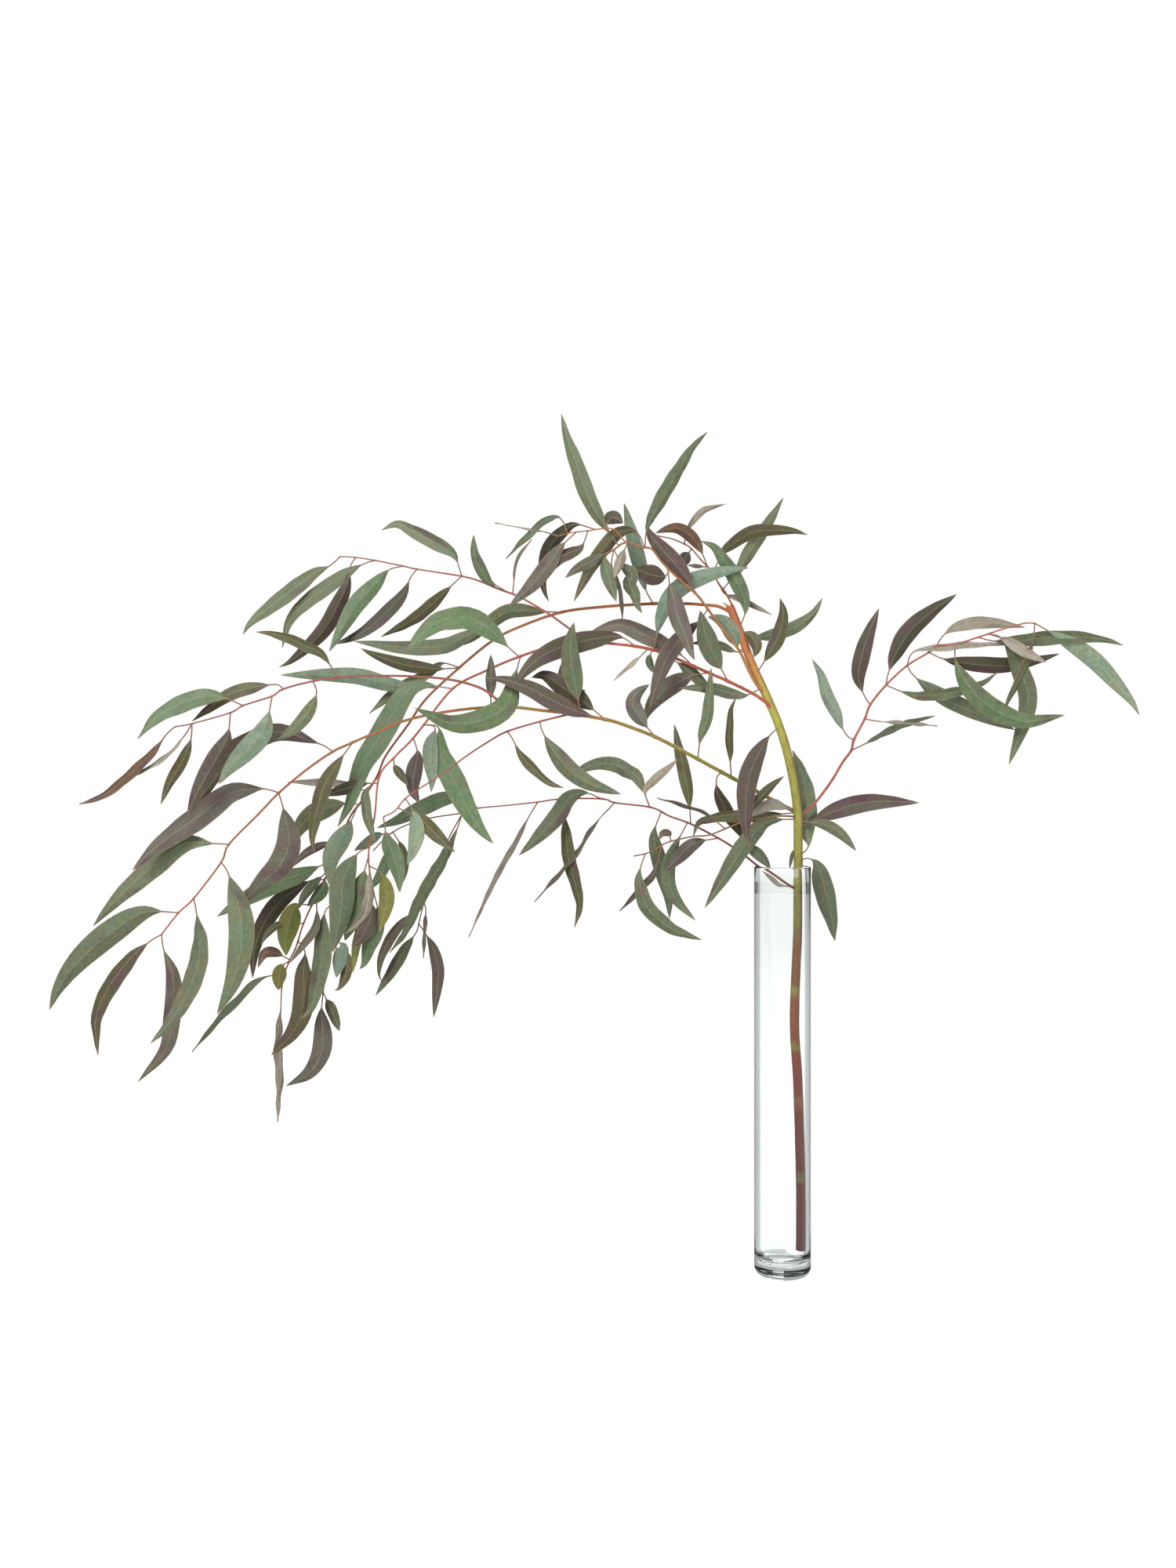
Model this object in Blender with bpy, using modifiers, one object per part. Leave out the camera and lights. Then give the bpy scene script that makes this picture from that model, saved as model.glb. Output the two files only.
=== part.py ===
"""A willow-leaved eucalyptus branch standing in a tall clear glass cylinder."""

import bisect
import math
from collections import namedtuple

import bmesh
import bpy
from mathutils import Vector

# Lengths are in millimetres. The origin is the centre of the vase's base, on the table.
MM = 0.001
GAP = 0.3

# The glass cylinder, with a heavy base whose hollow is rounded like a bowl
VASE_RADIUS = 36.0
VASE_HEIGHT = 520.0
WALL = 4.0
FLOOR = 18.0
BOWL_RADIUS = 16.0
FOOT_RADIUS = 11.0
ARC_STEPS = 4
TURN_STEPS = 32

# Blades: the thickness, the outline, and where along a blade its sections lie. Widths were read
# inside the pale edge, so a blade is a little wider than its width in the tables.
BLADE_THICKNESS = 0.62
EDGE_ALLOWANCE = 1.18
PETIOLE = 15.0
PETIOLE_SHARE = 0.17
PETIOLE_WIDTH = 1.8
WIDEST_AT = 0.78
FULLNESS = 0.8
CLOSE_TO_BASE = 4.0
MIDRIB_SPACING = 3.0
TIP_WIDTH = 0.9
LONG_BLADE = 130.0
SECTIONS = (0.2, 0.45, 0.72)
LONG_SECTIONS = (0.16, 0.38, 0.6, 0.8)
NATURAL_WIDTH = 0.13
WIDEST_NATURAL = 22.0
EVEN_ROLL = math.radians(14)

# Twigs: the spacing of a tube's rings, its sides, and the splinter at the snapped end of the stem
RING_SPACING = 40.0
STEM_SIDES = 10
TWIG_SIDES = 6
SNAG = (-76.0, 857.0, 21.0)
SNAG_RADIUS = 2.4
SNAG_ROOT = 0.15

GLASS_COLOUR = (0.95, 0.97, 0.96)
GLASS_ROUGHNESS = 0.02
LEAF_ROUGHNESS = 0.55

# The branch is laid out as seen, level, from this far in front of a point at these X and Z.
EYE_X = -248.0
EYE_Z = 625.0
EYE_DISTANCE = 2000.0

# Each branch: twigs as start and end radius, then (X, Z, depth) points from the carrier outwards;
# leaves as width seen, how far the tip lies behind the base, then (X, Z) points from base to tip.
MAIN_STEM_TWIGS = (
    (6.75, 5.3, (24.1, 30.5, 1), (24.1, 90, 2), (23.3, 142, 3), (20, 245, 5), (16, 305, 6.5),
     (16, 346, 7.5), (18, 396, 8.5), (20, 445, 9.5), (20, 545, 11.5), (19, 593, 12.5), (12.6, 636, 14),
     (4, 673, 15), (-7, 706, 16), (-22, 741, 17.5), (-40.5, 782, 19), (-54, 819, 21), (-67, 852, 22.5)),
)
MAIN_STEM_LEAVES = (
    (24, 30, (23, 532), (33, 545), (31, 565), (32, 585), (30, 615), (24, 640), (13, 668)),
    (21, 25, (24, 570), (36, 577), (70, 592), (103, 601), (135, 603), (174, 601)),
    (13, -15, (22, 579), (35, 576), (57, 572), (77, 559), (94, 540)),
    (24, 30, (22, 527), (34, 530), (45, 520), (55, 487), (63, 454), (67, 425)),
    (4, -6, (14, 540), (11, 528), (9, 516)),
    (23, -90, (-8, 695), (-22, 679), (-37, 650), (-45, 622), (-47, 593), (-46, 564), (-41, 546)),
    (13, -30, (11, 592), (-8, 599), (-23, 596), (-43, 583)),
    (20, -60, (12, 580), (-8, 579), (-24, 574), (-38, 559), (-53, 540), (-68, 517), (-99, 467)),
    (13, -20, (12, 588), (-13, 586), (-37, 585), (-60, 586), (-95, 581), (-108, 574), (-114, 557)),
    (16, -25, (-30, 767), (-16, 793), (-5, 814), (1, 842), (-3, 862)),
    (15, 15, (-42, 819), (-36, 813), (-18, 814), (1, 819), (20, 827), (39, 842), (51, 862)),
    (17, -20, (-52, 824), (-47, 846), (-51, 867), (-62, 890), (-74, 909), (-87, 927), (-104, 935)),
    (10, -10, (-55, 793), (-66, 796), (-79, 802), (-104, 805), (-117, 804)),
    (18, -8, (-55, 796), (-61, 810), (-70, 827), (-83, 836), (-95, 838)),
    (14, -25, (-53, 825), (-39, 812), (-33, 800), (-36, 787)),
)
LONG_BRANCH_TWIGS = (
    (2.6, 0.9, (12, 592, 13), (-35, 617, 5), (-77, 640, -2), (-123, 665, -8), (-162, 685, -12),
     (-198, 699, -15), (-224, 707, -17), (-273, 715, -20), (-308, 719, -24), (-345, 723, -28),
     (-388, 722, -32), (-436, 716, -37), (-481, 706, -42), (-518, 691, -46), (-555, 675, -50),
     (-574, 666, -52), (-606, 644, -54), (-642, 614, -56), (-668, 587, -57), (-706, 548, -58),
     (-716, 525, -58), (-751, 479, -58), (-770, 461, -58), (-792, 433, -58)),
)
LONG_BRANCH_LEAVES = (
    (15, 25, (-78, 639), (-84, 633), (-83, 616), (-75, 597), (-64, 578), (-52, 562), (-45, 545)),
    (8, -25, (-65, 634), (-67, 660), (-68, 689), (-66, 717), (-59, 736)),
    (13, -25, (-107, 658), (-107, 667), (-104, 685), (-96, 708), (-93, 736), (-91, 773)),
    (18, 10, (-161, 686), (-174, 699), (-186, 715), (-191, 729), (-185, 741), (-170, 752)),
    (22, -20, (-257, 713), (-263, 745), (-270, 785), (-270, 810), (-266, 831)),
    (22, 15, (-226, 709), (-249, 726), (-277, 746), (-302, 763), (-320, 761)),
    (20, -25, (-225, 707), (-263, 718), (-294, 732), (-324, 748), (-355, 758), (-377, 760)),
    (12, 10, (-372, 722), (-372, 761), (-372, 790)),
    (18, 15, (-548, 678), (-567, 652), (-584, 624), (-594, 591), (-600, 558), (-597, 538)),
    (22, 20, (-574, 667), (-590, 676), (-641, 691), (-675, 680), (-708, 660), (-742, 605), (-746, 575)),
    (27, -15, (-642, 614), (-666, 619), (-706, 613), (-742, 586), (-798, 545), (-829, 515)),
    (27, 25, (-642, 613), (-637, 595), (-630, 562), (-631, 542), (-641, 521), (-657, 505), (-693, 470)),
    (24, 20, (-706, 548), (-727, 549), (-764, 549), (-803, 520), (-848, 480), (-879, 444)),
    (27, -20, (-716, 525), (-707, 511), (-693, 465), (-690, 425), (-700, 375), (-721, 331)),
    (22, -25, (-751, 479), (-748, 464), (-743, 419), (-753, 373), (-779, 324), (-806, 294)),
    (27, -10, (-770, 461), (-813, 461), (-853, 438), (-896, 401), (-922, 367), (-935, 337)),
    (18, -5, (-792, 433), (-807, 424), (-833, 401), (-862, 361), (-876, 324), (-873, 279)),
    (18, 15, (-792, 432), (-789, 413), (-779, 387), (-776, 358), (-779, 324), (-787, 286), (-822, 245)),
)
UPPER_LEFT_SPRAY_TWIGS = (
    (1.7, 0.8, (-353, 723, -29), (-377, 743, -36), (-401, 753, -43), (-430, 759, -52), (-464, 762, -62),
     (-502, 763, -72), (-553, 762, -84), (-599, 756, -94), (-637, 746, -100), (-651, 737, -102),
     (-688, 725, -107), (-704, 716, -109), (-753, 702, -114), (-775, 698, -116)),
)
UPPER_LEFT_SPRAY_LEAVES = (
    (11, -15, (-567, 761), (-586, 789), (-609, 802), (-642, 815), (-671, 819)),
    (14, 10, (-599, 756), (-594, 743), (-599, 727), (-610, 709), (-626, 693), (-646, 681)),
    (15, 10, (-637, 746), (-648, 752), (-697, 743), (-724, 727), (-753, 705)),
    (22, -15, (-651, 737), (-656, 711), (-664, 689), (-684, 667), (-706, 644), (-719, 625)),
    (20, -15, (-688, 725), (-715, 736), (-742, 736), (-773, 725), (-800, 709), (-822, 683)),
    (20, 15, (-704, 716), (-708, 685), (-722, 658), (-746, 615), (-759, 585)),
    (6, -5, (-753, 702), (-764, 685), (-786, 662), (-813, 644), (-833, 632)),
    (11, 15, (-753, 702), (-755, 680), (-766, 653), (-782, 626), (-793, 599)),
    (12, -10, (-775, 698), (-786, 688), (-802, 667), (-842, 629), (-869, 609), (-897, 599)),
)
MIDDLE_SPRAY_TWIGS = (
    (1.3, 0.8, (-270, 714, -20), (-308, 705, -20), (-351, 692, -20), (-375, 679, -20), (-404, 660, -20),
     (-438, 635, -20), (-478, 609, -22), (-494, 591, -23), (-509, 583, -24)),
)
MIDDLE_SPRAY_LEAVES = (
    (20, -20, (-309, 705), (-307, 694), (-294, 670), (-276, 647), (-258, 632), (-238, 622), (-206, 612)),
    (10, -5, (-351, 692), (-345, 684), (-334, 663), (-318, 645), (-298, 627), (-279, 620)),
    (18, -15, (-482, 607), (-476, 599), (-469, 583), (-467, 562), (-472, 538), (-479, 522)),
    (16, -10, (-490, 594), (-476, 588), (-461, 580), (-443, 562), (-418, 538)),
    (20, -10, (-509, 583), (-507, 569), (-504, 552), (-496, 532), (-490, 511), (-488, 487)),
)
PINK_BRANCH_TWIGS = (
    (2.2, 0.9, (-5, 699, 16), (-11, 718, 14), (-32, 737, 11), (-69, 756, 8), (-92, 766, 7),
     (-140, 787, 5), (-165, 796, 4), (-198, 802, 2), (-245, 805, 0), (-294, 800, -2), (-334, 788, -3),
     (-377, 770, -4), (-420, 747, -4), (-457, 701, -4), (-474, 680, -5), (-494, 660, -6),
     (-514, 635, -8), (-520, 585, -6), (-528, 533, -2), (-521, 485, 2)),
)
PINK_BRANCH_LEAVES = (
    (24, -35, (-69, 757), (-77, 770), (-90, 795), (-99, 820), (-105, 846)),
    (22, 20, (-94, 767), (-116, 763), (-142, 750), (-158, 737), (-171, 718), (-174, 705)),
    (20, 10, (-114, 776), (-131, 791), (-152, 804), (-171, 813), (-190, 822), (-212, 828), (-251, 815)),
    (14, 15, (-146, 789), (-137, 782), (-118, 769), (-105, 757), (-95, 744), (-90, 732)),
    (20, -2, (-164, 796), (-160, 818), (-152, 845), (-140, 866), (-123, 880), (-98, 890), (-72, 897),
     (-43, 901)),
    (9, 0, (-166, 796), (-170, 783), (-164, 766)),
    (24, -30, (-186, 801), (-208, 813), (-241, 810), (-278, 801), (-308, 787), (-330, 767), (-342, 747)),
    (20, 20, (-245, 804), (-257, 795), (-267, 787), (-273, 771), (-276, 747), (-251, 744)),
    (26, -45, (-336, 788), (-349, 799), (-371, 820), (-396, 836), (-420, 837), (-447, 828), (-483, 792)),
    (25, -100, (-334, 788), (-343, 755), (-349, 730), (-365, 714), (-396, 703), (-426, 703), (-469, 722)),
    (27, -10, (-421, 747), (-462, 751), (-484, 737), (-514, 685), (-537, 648), (-550, 606), (-567, 570)),
    (26, 15, (-457, 701), (-438, 696), (-436, 663), (-420, 631), (-404, 598), (-387, 570), (-369, 549)),
    (18, 5, (-457, 700), (-443, 697), (-449, 674), (-449, 653), (-447, 633), (-448, 615)),
    (18, 12, (-471, 684), (-465, 663), (-469, 643), (-471, 619), (-463, 600)),
    (10, 0, (-496, 658), (-494, 647), (-477, 623)),
    (14, -10, (-515, 626), (-537, 625), (-557, 619), (-586, 610)),
    (12, -8, (-514, 635), (-531, 615), (-531, 591), (-525, 566), (-519, 550)),
    (28, -25, (-527, 545), (-543, 535), (-560, 503), (-562, 475), (-566, 447), (-574, 410)),
    (26, -5, (-528, 533), (-538, 495), (-546, 460), (-558, 425)),
    (9, -35, (-528, 531), (-526, 489), (-528, 475), (-533, 458), (-546, 444), (-558, 434)),
    (18, -5, (-526, 520), (-511, 510), (-505, 482), (-508, 461), (-514, 436)),
    (20, -10, (-521, 486), (-528, 447), (-542, 423), (-550, 420)),
    (20, 8, (-521, 486), (-516, 461), (-522, 433), (-528, 419), (-533, 398), (-539, 389)),
    (11, 4, (-522, 487), (-540, 430), (-544, 412), (-548, 384)),
    (5, 5, (-172, 797), (-183, 786), (-197, 774), (-215, 757)),
)
HIGH_LEFT_SPRAY_TWIGS = (
    (1.5, 0.8, (-253, 807, 1), (-269, 821, 8), (-298, 842, 16), (-318, 854, 24), (-338, 865, 33),
     (-363, 874, 43), (-387, 884, 52), (-409, 890, 60), (-466, 899, 80), (-484, 903, 86),
     (-519, 910, 96), (-544, 914, 103), (-564, 915, 108)),
)
HIGH_LEFT_SPRAY_LEAVES = (
    (3, -10, (-344, 868), (-338, 910), (-320, 937)),
    (13, -15, (-350, 869), (-365, 878), (-375, 883), (-385, 899), (-393, 920), (-394, 943)),
    (17, 15, (-409, 890), (-413, 903), (-418, 916), (-430, 926), (-473, 949), (-492, 957), (-511, 949)),
    (13, -15, (-409, 890), (-419, 881), (-457, 845), (-484, 827), (-512, 813)),
    (17, 10, (-466, 899), (-474, 889), (-484, 867), (-502, 847), (-524, 827), (-546, 813), (-573, 803)),
    (20, -20, (-484, 903), (-502, 898), (-519, 880), (-542, 856), (-555, 836), (-578, 794)),
    (19, 20, (-519, 910), (-531, 907), (-553, 896), (-582, 876), (-609, 856), (-629, 833), (-638, 799)),
    (18, -20, (-544, 914), (-551, 903), (-556, 878), (-568, 851), (-586, 820), (-624, 784), (-642, 774)),
    (20, -15, (-564, 915), (-578, 903), (-598, 894), (-631, 869), (-676, 833), (-688, 816)),
)
ARCH_BRANCH_TWIGS = (
    (2.1, 1.0, (-63, 843, 22), (-80, 851, 23), (-93, 853, 25), (-123, 855, 28), (-164, 855, 31),
     (-229, 851, 34), (-282, 844, 37), (-334, 826, 40), (-371, 807, 42), (-416, 770, 44), (-455, 733, 46),
     (-478, 700, 47), (-506, 661, 49), (-517, 635, 50), (-537, 603, 51), (-553, 580, 52), (-573, 527, 53),
     (-600, 471, 54), (-612, 444, 55), (-620, 418, 56), (-629, 399, 56), (-635, 383, 57), (-639, 363, 57)),
    (0.9, 0.8, (-573, 527, 53), (-571, 475, 60), (-574, 425, 66), (-586, 359, 72)),
)
ARCH_BRANCH_LEAVES = (
    (18, -5, (-165, 857), (-175, 874), (-179, 895), (-187, 924), (-194, 952), (-202, 983)),
    (16, 12, (-281, 844), (-314, 845), (-348, 845), (-373, 830), (-398, 810), (-420, 799)),
    (18, -20, (-358, 813), (-390, 819), (-430, 802), (-478, 799), (-508, 802), (-546, 807)),
    (15, -20, (-412, 773), (-433, 772), (-457, 773), (-486, 778), (-519, 789), (-538, 798)),
    (14, 15, (-412, 774), (-433, 779), (-448, 770), (-468, 757), (-493, 745), (-527, 715)),
    (18, -35, (-440, 748), (-484, 749), (-508, 753), (-542, 762), (-586, 764), (-640, 764)),
    (9, -15, (-530, 615), (-555, 625), (-598, 628), (-631, 627)),
    (23, 15, (-540, 598), (-553, 601), (-576, 596), (-600, 585), (-616, 568), (-624, 546)),
    (24, -25, (-543, 595), (-557, 564), (-573, 540), (-578, 515), (-577, 495)),
    (10, -10, (-563, 555), (-584, 548), (-606, 538), (-626, 519)),
    (23, -35, (-573, 527), (-598, 517), (-616, 509), (-647, 499), (-690, 476), (-721, 456)),
    (11, -20, (-578, 515), (-596, 499), (-610, 482), (-618, 465)),
    (15, -6, (-580, 511), (-588, 489), (-606, 469)),
    (20, 10, (-585, 503), (-598, 503), (-618, 493), (-643, 473), (-662, 445), (-673, 415), (-676, 377)),
    (10, -12, (-594, 482), (-595, 444), (-612, 419), (-628, 397)),
    (24, -15, (-600, 471), (-620, 470), (-627, 454), (-633, 430), (-633, 406)),
    (9, -25, (-610, 447), (-641, 446), (-657, 434), (-665, 420)),
    (24, -10, (-618, 425), (-609, 411), (-611, 387), (-610, 359), (-614, 330), (-627, 305), (-652, 279)),
    (12, -15, (-629, 401), (-647, 410), (-661, 409), (-669, 391)),
    (16, -12, (-629, 399), (-638, 393), (-642, 379), (-643, 362)),
    (10, -10, (-636, 381), (-655, 380), (-675, 372), (-695, 352), (-718, 329), (-753, 283)),
    (6, 0, (-639, 363), (-640, 332), (-642, 281), (-640, 250), (-644, 194)),
    (22, -20, (-571, 473), (-583, 463), (-587, 434), (-588, 403), (-594, 371), (-602, 338), (-615, 325)),
    (17, -10, (-574, 425), (-561, 419), (-565, 398), (-569, 378)),
    (14, -5, (-575, 420), (-557, 405), (-557, 383), (-565, 365), (-571, 362)),
    (22, -5, (-586, 359), (-588, 332), (-586, 301), (-590, 277), (-606, 254), (-633, 240)),
    (14, -12, (-586, 360), (-584, 355), (-576, 338), (-565, 310)),
)
LOW_BRANCH_TWIGS = (
    (1.5, 0.8, (14, 493, 9), (-3, 503, 5), (-26, 517, 1), (-34, 522.5, 0), (-51, 536, 1), (-70, 549, 5),
     (-93, 562, 10), (-119, 575, 16), (-144, 584, 21), (-167, 595, 26), (-213, 601, 34), (-230, 606, 37),
     (-281, 606, 46), (-312, 602, 52), (-348, 598, 58), (-389, 594, 66), (-408, 588, 70)),
    (0.8, 0.8, (-408, 588, 70), (-428, 551, 78), (-451, 496, 88), (-464, 447, 94)),
    (0.8, 0.8, (-408, 588, 70), (-461, 579, 62), (-498, 563, 62), (-522, 540, 62)),
)
LOW_BRANCH_LEAVES = (
    (5, -4, (12, 494), (-3, 496), (-12, 502), (-26, 512)),
    (13, -10, (-53, 538), (-46, 545), (-38, 541), (-28, 533), (-15, 517)),
    (16, -10, (-82, 556), (-104, 552), (-119, 545), (-135, 529), (-152, 512)),
    (16, -10, (-121, 576), (-135, 549), (-144, 524), (-144, 495), (-131, 472), (-111, 451)),
    (15, 10, (-117, 574), (-119, 603), (-123, 631), (-131, 666), (-138, 701)),
    (18, 20, (-155, 589), (-164, 562), (-160, 539), (-152, 510), (-145, 480), (-144, 453)),
    (10, -15, (-169, 596), (-175, 616), (-162, 631), (-146, 645), (-133, 657)),
    (17, 20, (-169, 596), (-185, 633), (-198, 641), (-212, 649), (-232, 651), (-253, 645), (-272, 633)),
    (5, 15, (-214, 601), (-243, 570), (-257, 547), (-277, 521), (-316, 475)),
    (20, -30, (-230, 606), (-253, 614), (-273, 606), (-287, 584), (-314, 555), (-336, 534)),
    (15, -10, (-278, 605), (-278, 582), (-273, 531), (-265, 500), (-259, 470), (-265, 442)),
    (6, 10, (-312, 602), (-324, 582), (-338, 551), (-355, 521), (-371, 490), (-400, 430)),
    (19, 10, (-389, 594), (-398, 605), (-413, 609), (-436, 605), (-464, 593), (-494, 578), (-517, 569)),
    (13, -20, (-408, 587), (-416, 565), (-430, 533), (-449, 500), (-465, 470), (-482, 434), (-501, 410)),
    (12, -10, (-459, 467), (-474, 459), (-494, 438), (-510, 410), (-515, 387), (-512, 374)),
    (4, -15, (-457, 473), (-455, 465), (-456, 434), (-458, 403)),
    (14, 8, (-464, 447), (-467, 436), (-482, 414), (-498, 387), (-519, 355)),
    (14, -8, (-464, 447), (-454, 432), (-445, 414), (-439, 387), (-441, 359), (-445, 327)),
    (11, -6, (-497, 564), (-486, 545), (-482, 520), (-485, 497)),
    (13, -14, (-504, 558), (-503, 535), (-512, 510), (-528, 489)),
    (12, -8, (-500, 562), (-515, 560), (-532, 549), (-546, 540)),
)
CROWN_SPRAY_TWIGS = (
    (2.0, 1.1, (-21, 739, 17), (-33, 752, 10), (-44, 772, 8), (-55, 795, 6), (-72, 817, 4), (-95, 848, 0),
     (-108, 865, -3), (-128, 883, -7), (-146, 900, -10), (-156, 911, -12), (-167, 925, -15),
     (-179, 927, -17), (-200, 933, -21), (-215, 924, -24)),
    (0.9, 0.7, (-200, 933, -21), (-214, 949, -28), (-227, 951, -31), (-248, 948, -34), (-273, 945, -38),
     (-285, 941, -40)),
)
CROWN_SPRAY_LEAVES = (
    (14, -45, (-30, 745), (-47, 738), (-66, 741), (-89, 747), (-114, 748), (-131, 747)),
    (20, -25, (-95, 848), (-106, 833), (-119, 821), (-135, 804), (-148, 785), (-158, 760), (-169, 723)),
    (3, -10, (-285, 941), (-305, 947), (-326, 951), (-349, 955), (-367, 958)),
    (20, -10, (-105, 863), (-123, 888), (-133, 901), (-148, 918), (-166, 939), (-175, 956)),
    (20, -25, (-146, 900), (-144, 881), (-139, 862), (-133, 837), (-125, 818), (-118, 797), (-112, 783)),
    (22, -10, (-146, 899), (-148, 891), (-160, 890), (-174, 894), (-190, 901)),
    (14, -15, (-175, 927), (-174, 945), (-169, 960), (-152, 991), (-133, 1023), (-114, 1054), (-96, 1074)),
    (15, -12, (-176, 927), (-183, 943), (-196, 949), (-212, 943), (-227, 926), (-244, 901), (-266, 858)),
    (11, -12, (-198, 932), (-206, 912), (-215, 887)),
    (17, 20, (-208, 928), (-219, 943), (-236, 968), (-250, 996), (-263, 1033), (-275, 1067), (-282, 1097)),
    (15, 8, (-215, 924), (-205, 905), (-192, 892), (-196, 880), (-189, 868), (-185, 853), (-179, 843)),
    (6, 5, (-215, 924), (-218, 905), (-212, 885), (-206, 868), (-204, 834)),
    (15, -8, (-215, 924), (-224, 917), (-227, 908), (-221, 885), (-212, 858)),
    (12, -15, (-215, 924), (-232, 916), (-246, 908), (-263, 899), (-277, 888)),
    (15, -5, (-228, 951), (-217, 965), (-203, 958)),
    (14, 10, (-238, 949), (-263, 956), (-279, 947), (-298, 925), (-305, 890), (-303, 870), (-298, 858)),
    (14, -5, (-248, 948), (-256, 928), (-271, 920), (-286, 912), (-307, 887)),
    (18, -20, (-263, 946), (-282, 928), (-298, 905), (-318, 880), (-338, 861), (-349, 852)),
    (9, -15, (-275, 945), (-279, 958), (-288, 967), (-302, 962), (-317, 951), (-334, 933), (-353, 912)),
)
CROWN_BACK_SPRAY_TWIGS = (
    (1.5, 0.8, (-60, 834, 22), (-63, 850, 32), (-72, 868, 36), (-81, 880, 38), (-91, 897, 42),
     (-104, 911, 46), (-116, 925, 50), (-125, 931, 52), (-142, 938, 56), (-162, 942, 60)),
)
CROWN_BACK_SPRAY_LEAVES = (
    (15, 20, (-76, 873), (-56, 898), (-43, 919), (-28, 942), (-12, 967), (1, 990)),
    (8, -12, (-80, 879), (-73, 867), (-53, 861), (-14, 841)),
    (14, -20, (-89, 894), (-76, 920), (-66, 929), (-47, 942), (-28, 948), (11, 948), (32, 943)),
    (14, -15, (-95, 902), (-105, 925), (-118, 942), (-133, 951), (-148, 950), (-162, 945)),
    (5, -8, (-95, 902), (-108, 903), (-121, 904)),
    (14, -8, (-116, 925), (-124, 913), (-132, 901)),
    (7, -10, (-125, 931), (-123, 946), (-116, 957), (-104, 971), (-96, 976), (-73, 982)),
)
RIGHT_BRANCH_TWIGS = (
    (1.8, 0.9, (20, 582, 13), (36, 595, 12), (49, 610, 10), (64, 631, 7), (77, 653, 4), (88, 668, 1),
     (91, 681, -1), (105, 708, -5), (112, 726, -8), (132, 751, -13), (159, 776, -19), (187, 793, -24),
     (197, 801, -26), (220, 803, -29), (249, 812, -34), (286, 824, -40), (309, 830, -44), (322, 830, -46)),
)
RIGHT_BRANCH_LEAVES = (
    (8, 10, (88, 668), (101, 674), (125, 686), (153, 699), (194, 712)),
    (14, 15, (91, 681), (83, 686), (75, 699), (68, 716), (57, 738), (49, 764), (38, 784)),
    (3, -5, (105, 708), (122, 705), (146, 703), (198, 699)),
    (18, -15, (112, 726), (107, 733), (101, 746), (97, 764), (101, 787), (109, 814), (123, 849)),
    (21, 20, (132, 751), (135, 766), (144, 790), (161, 818), (187, 842), (222, 867)),
    (12, -15, (132, 751), (161, 740), (187, 738), (217, 742), (251, 752), (274, 767)),
    (17, 15, (159, 776), (165, 766), (178, 754), (201, 738), (228, 724), (263, 708), (297, 694)),
    (9, -20, (159, 776), (163, 789), (175, 797), (201, 800), (240, 804), (292, 803)),
    (17, 5, (187, 793), (201, 786), (221, 781), (251, 777), (286, 776), (318, 781), (353, 791)),
    (14, 20, (197, 801), (203, 812), (217, 823), (240, 830), (267, 831), (309, 825)),
    (22, -30, (220, 803), (221, 782), (231, 759), (249, 736), (274, 718), (310, 705), (360, 713)),
    (16, -15, (249, 812), (274, 807), (309, 809), (343, 812), (377, 813), (412, 809), (434, 802)),
    (20, 20, (262, 816), (277, 813), (292, 795), (305, 765), (313, 740), (310, 710), (289, 650)),
    (14, -25, (263, 816), (287, 808), (310, 794), (336, 780)),
    (17, 10, (322, 830), (343, 818), (366, 805), (396, 784), (423, 756), (446, 729), (455, 713)),
    (10, -10, (322, 830), (320, 809), (315, 786), (304, 761), (292, 738), (281, 717)),
)
DRY_TWIGLET_TWIGS = (
    (1.2, 0.8, (19, 583, 12), (8, 584, 2), (-8, 584, -6), (-30, 581, -12), (-50, 577, -16), (-68, 570, -20),
     (-93, 560, -21), (-114, 558, -22), (-142, 552, -23), (-154, 547, -24), (-172, 537, -26),
     (-190, 533, -28)),
)
DRY_TWIGLET_LEAVES = (
    (11, -15, (-53, 576), (-37, 597), (-28, 608), (-12, 624), (2, 635)),
    (4, -10, (-73, 568), (-95, 585), (-123, 596), (-160, 607)),
    (8, -6, (-142, 552), (-145, 562), (-153, 562), (-157, 554)),
    (8, 8, (-154, 547), (-164, 510), (-181, 491), (-196, 474), (-208, 463)),
    (17, -25, (-175, 536), (-183, 510), (-181, 491), (-173, 468), (-158, 453), (-139, 439), (-103, 426)),
)

Branch = namedtuple("Branch", "name carrier twigs leaves colour")
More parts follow.
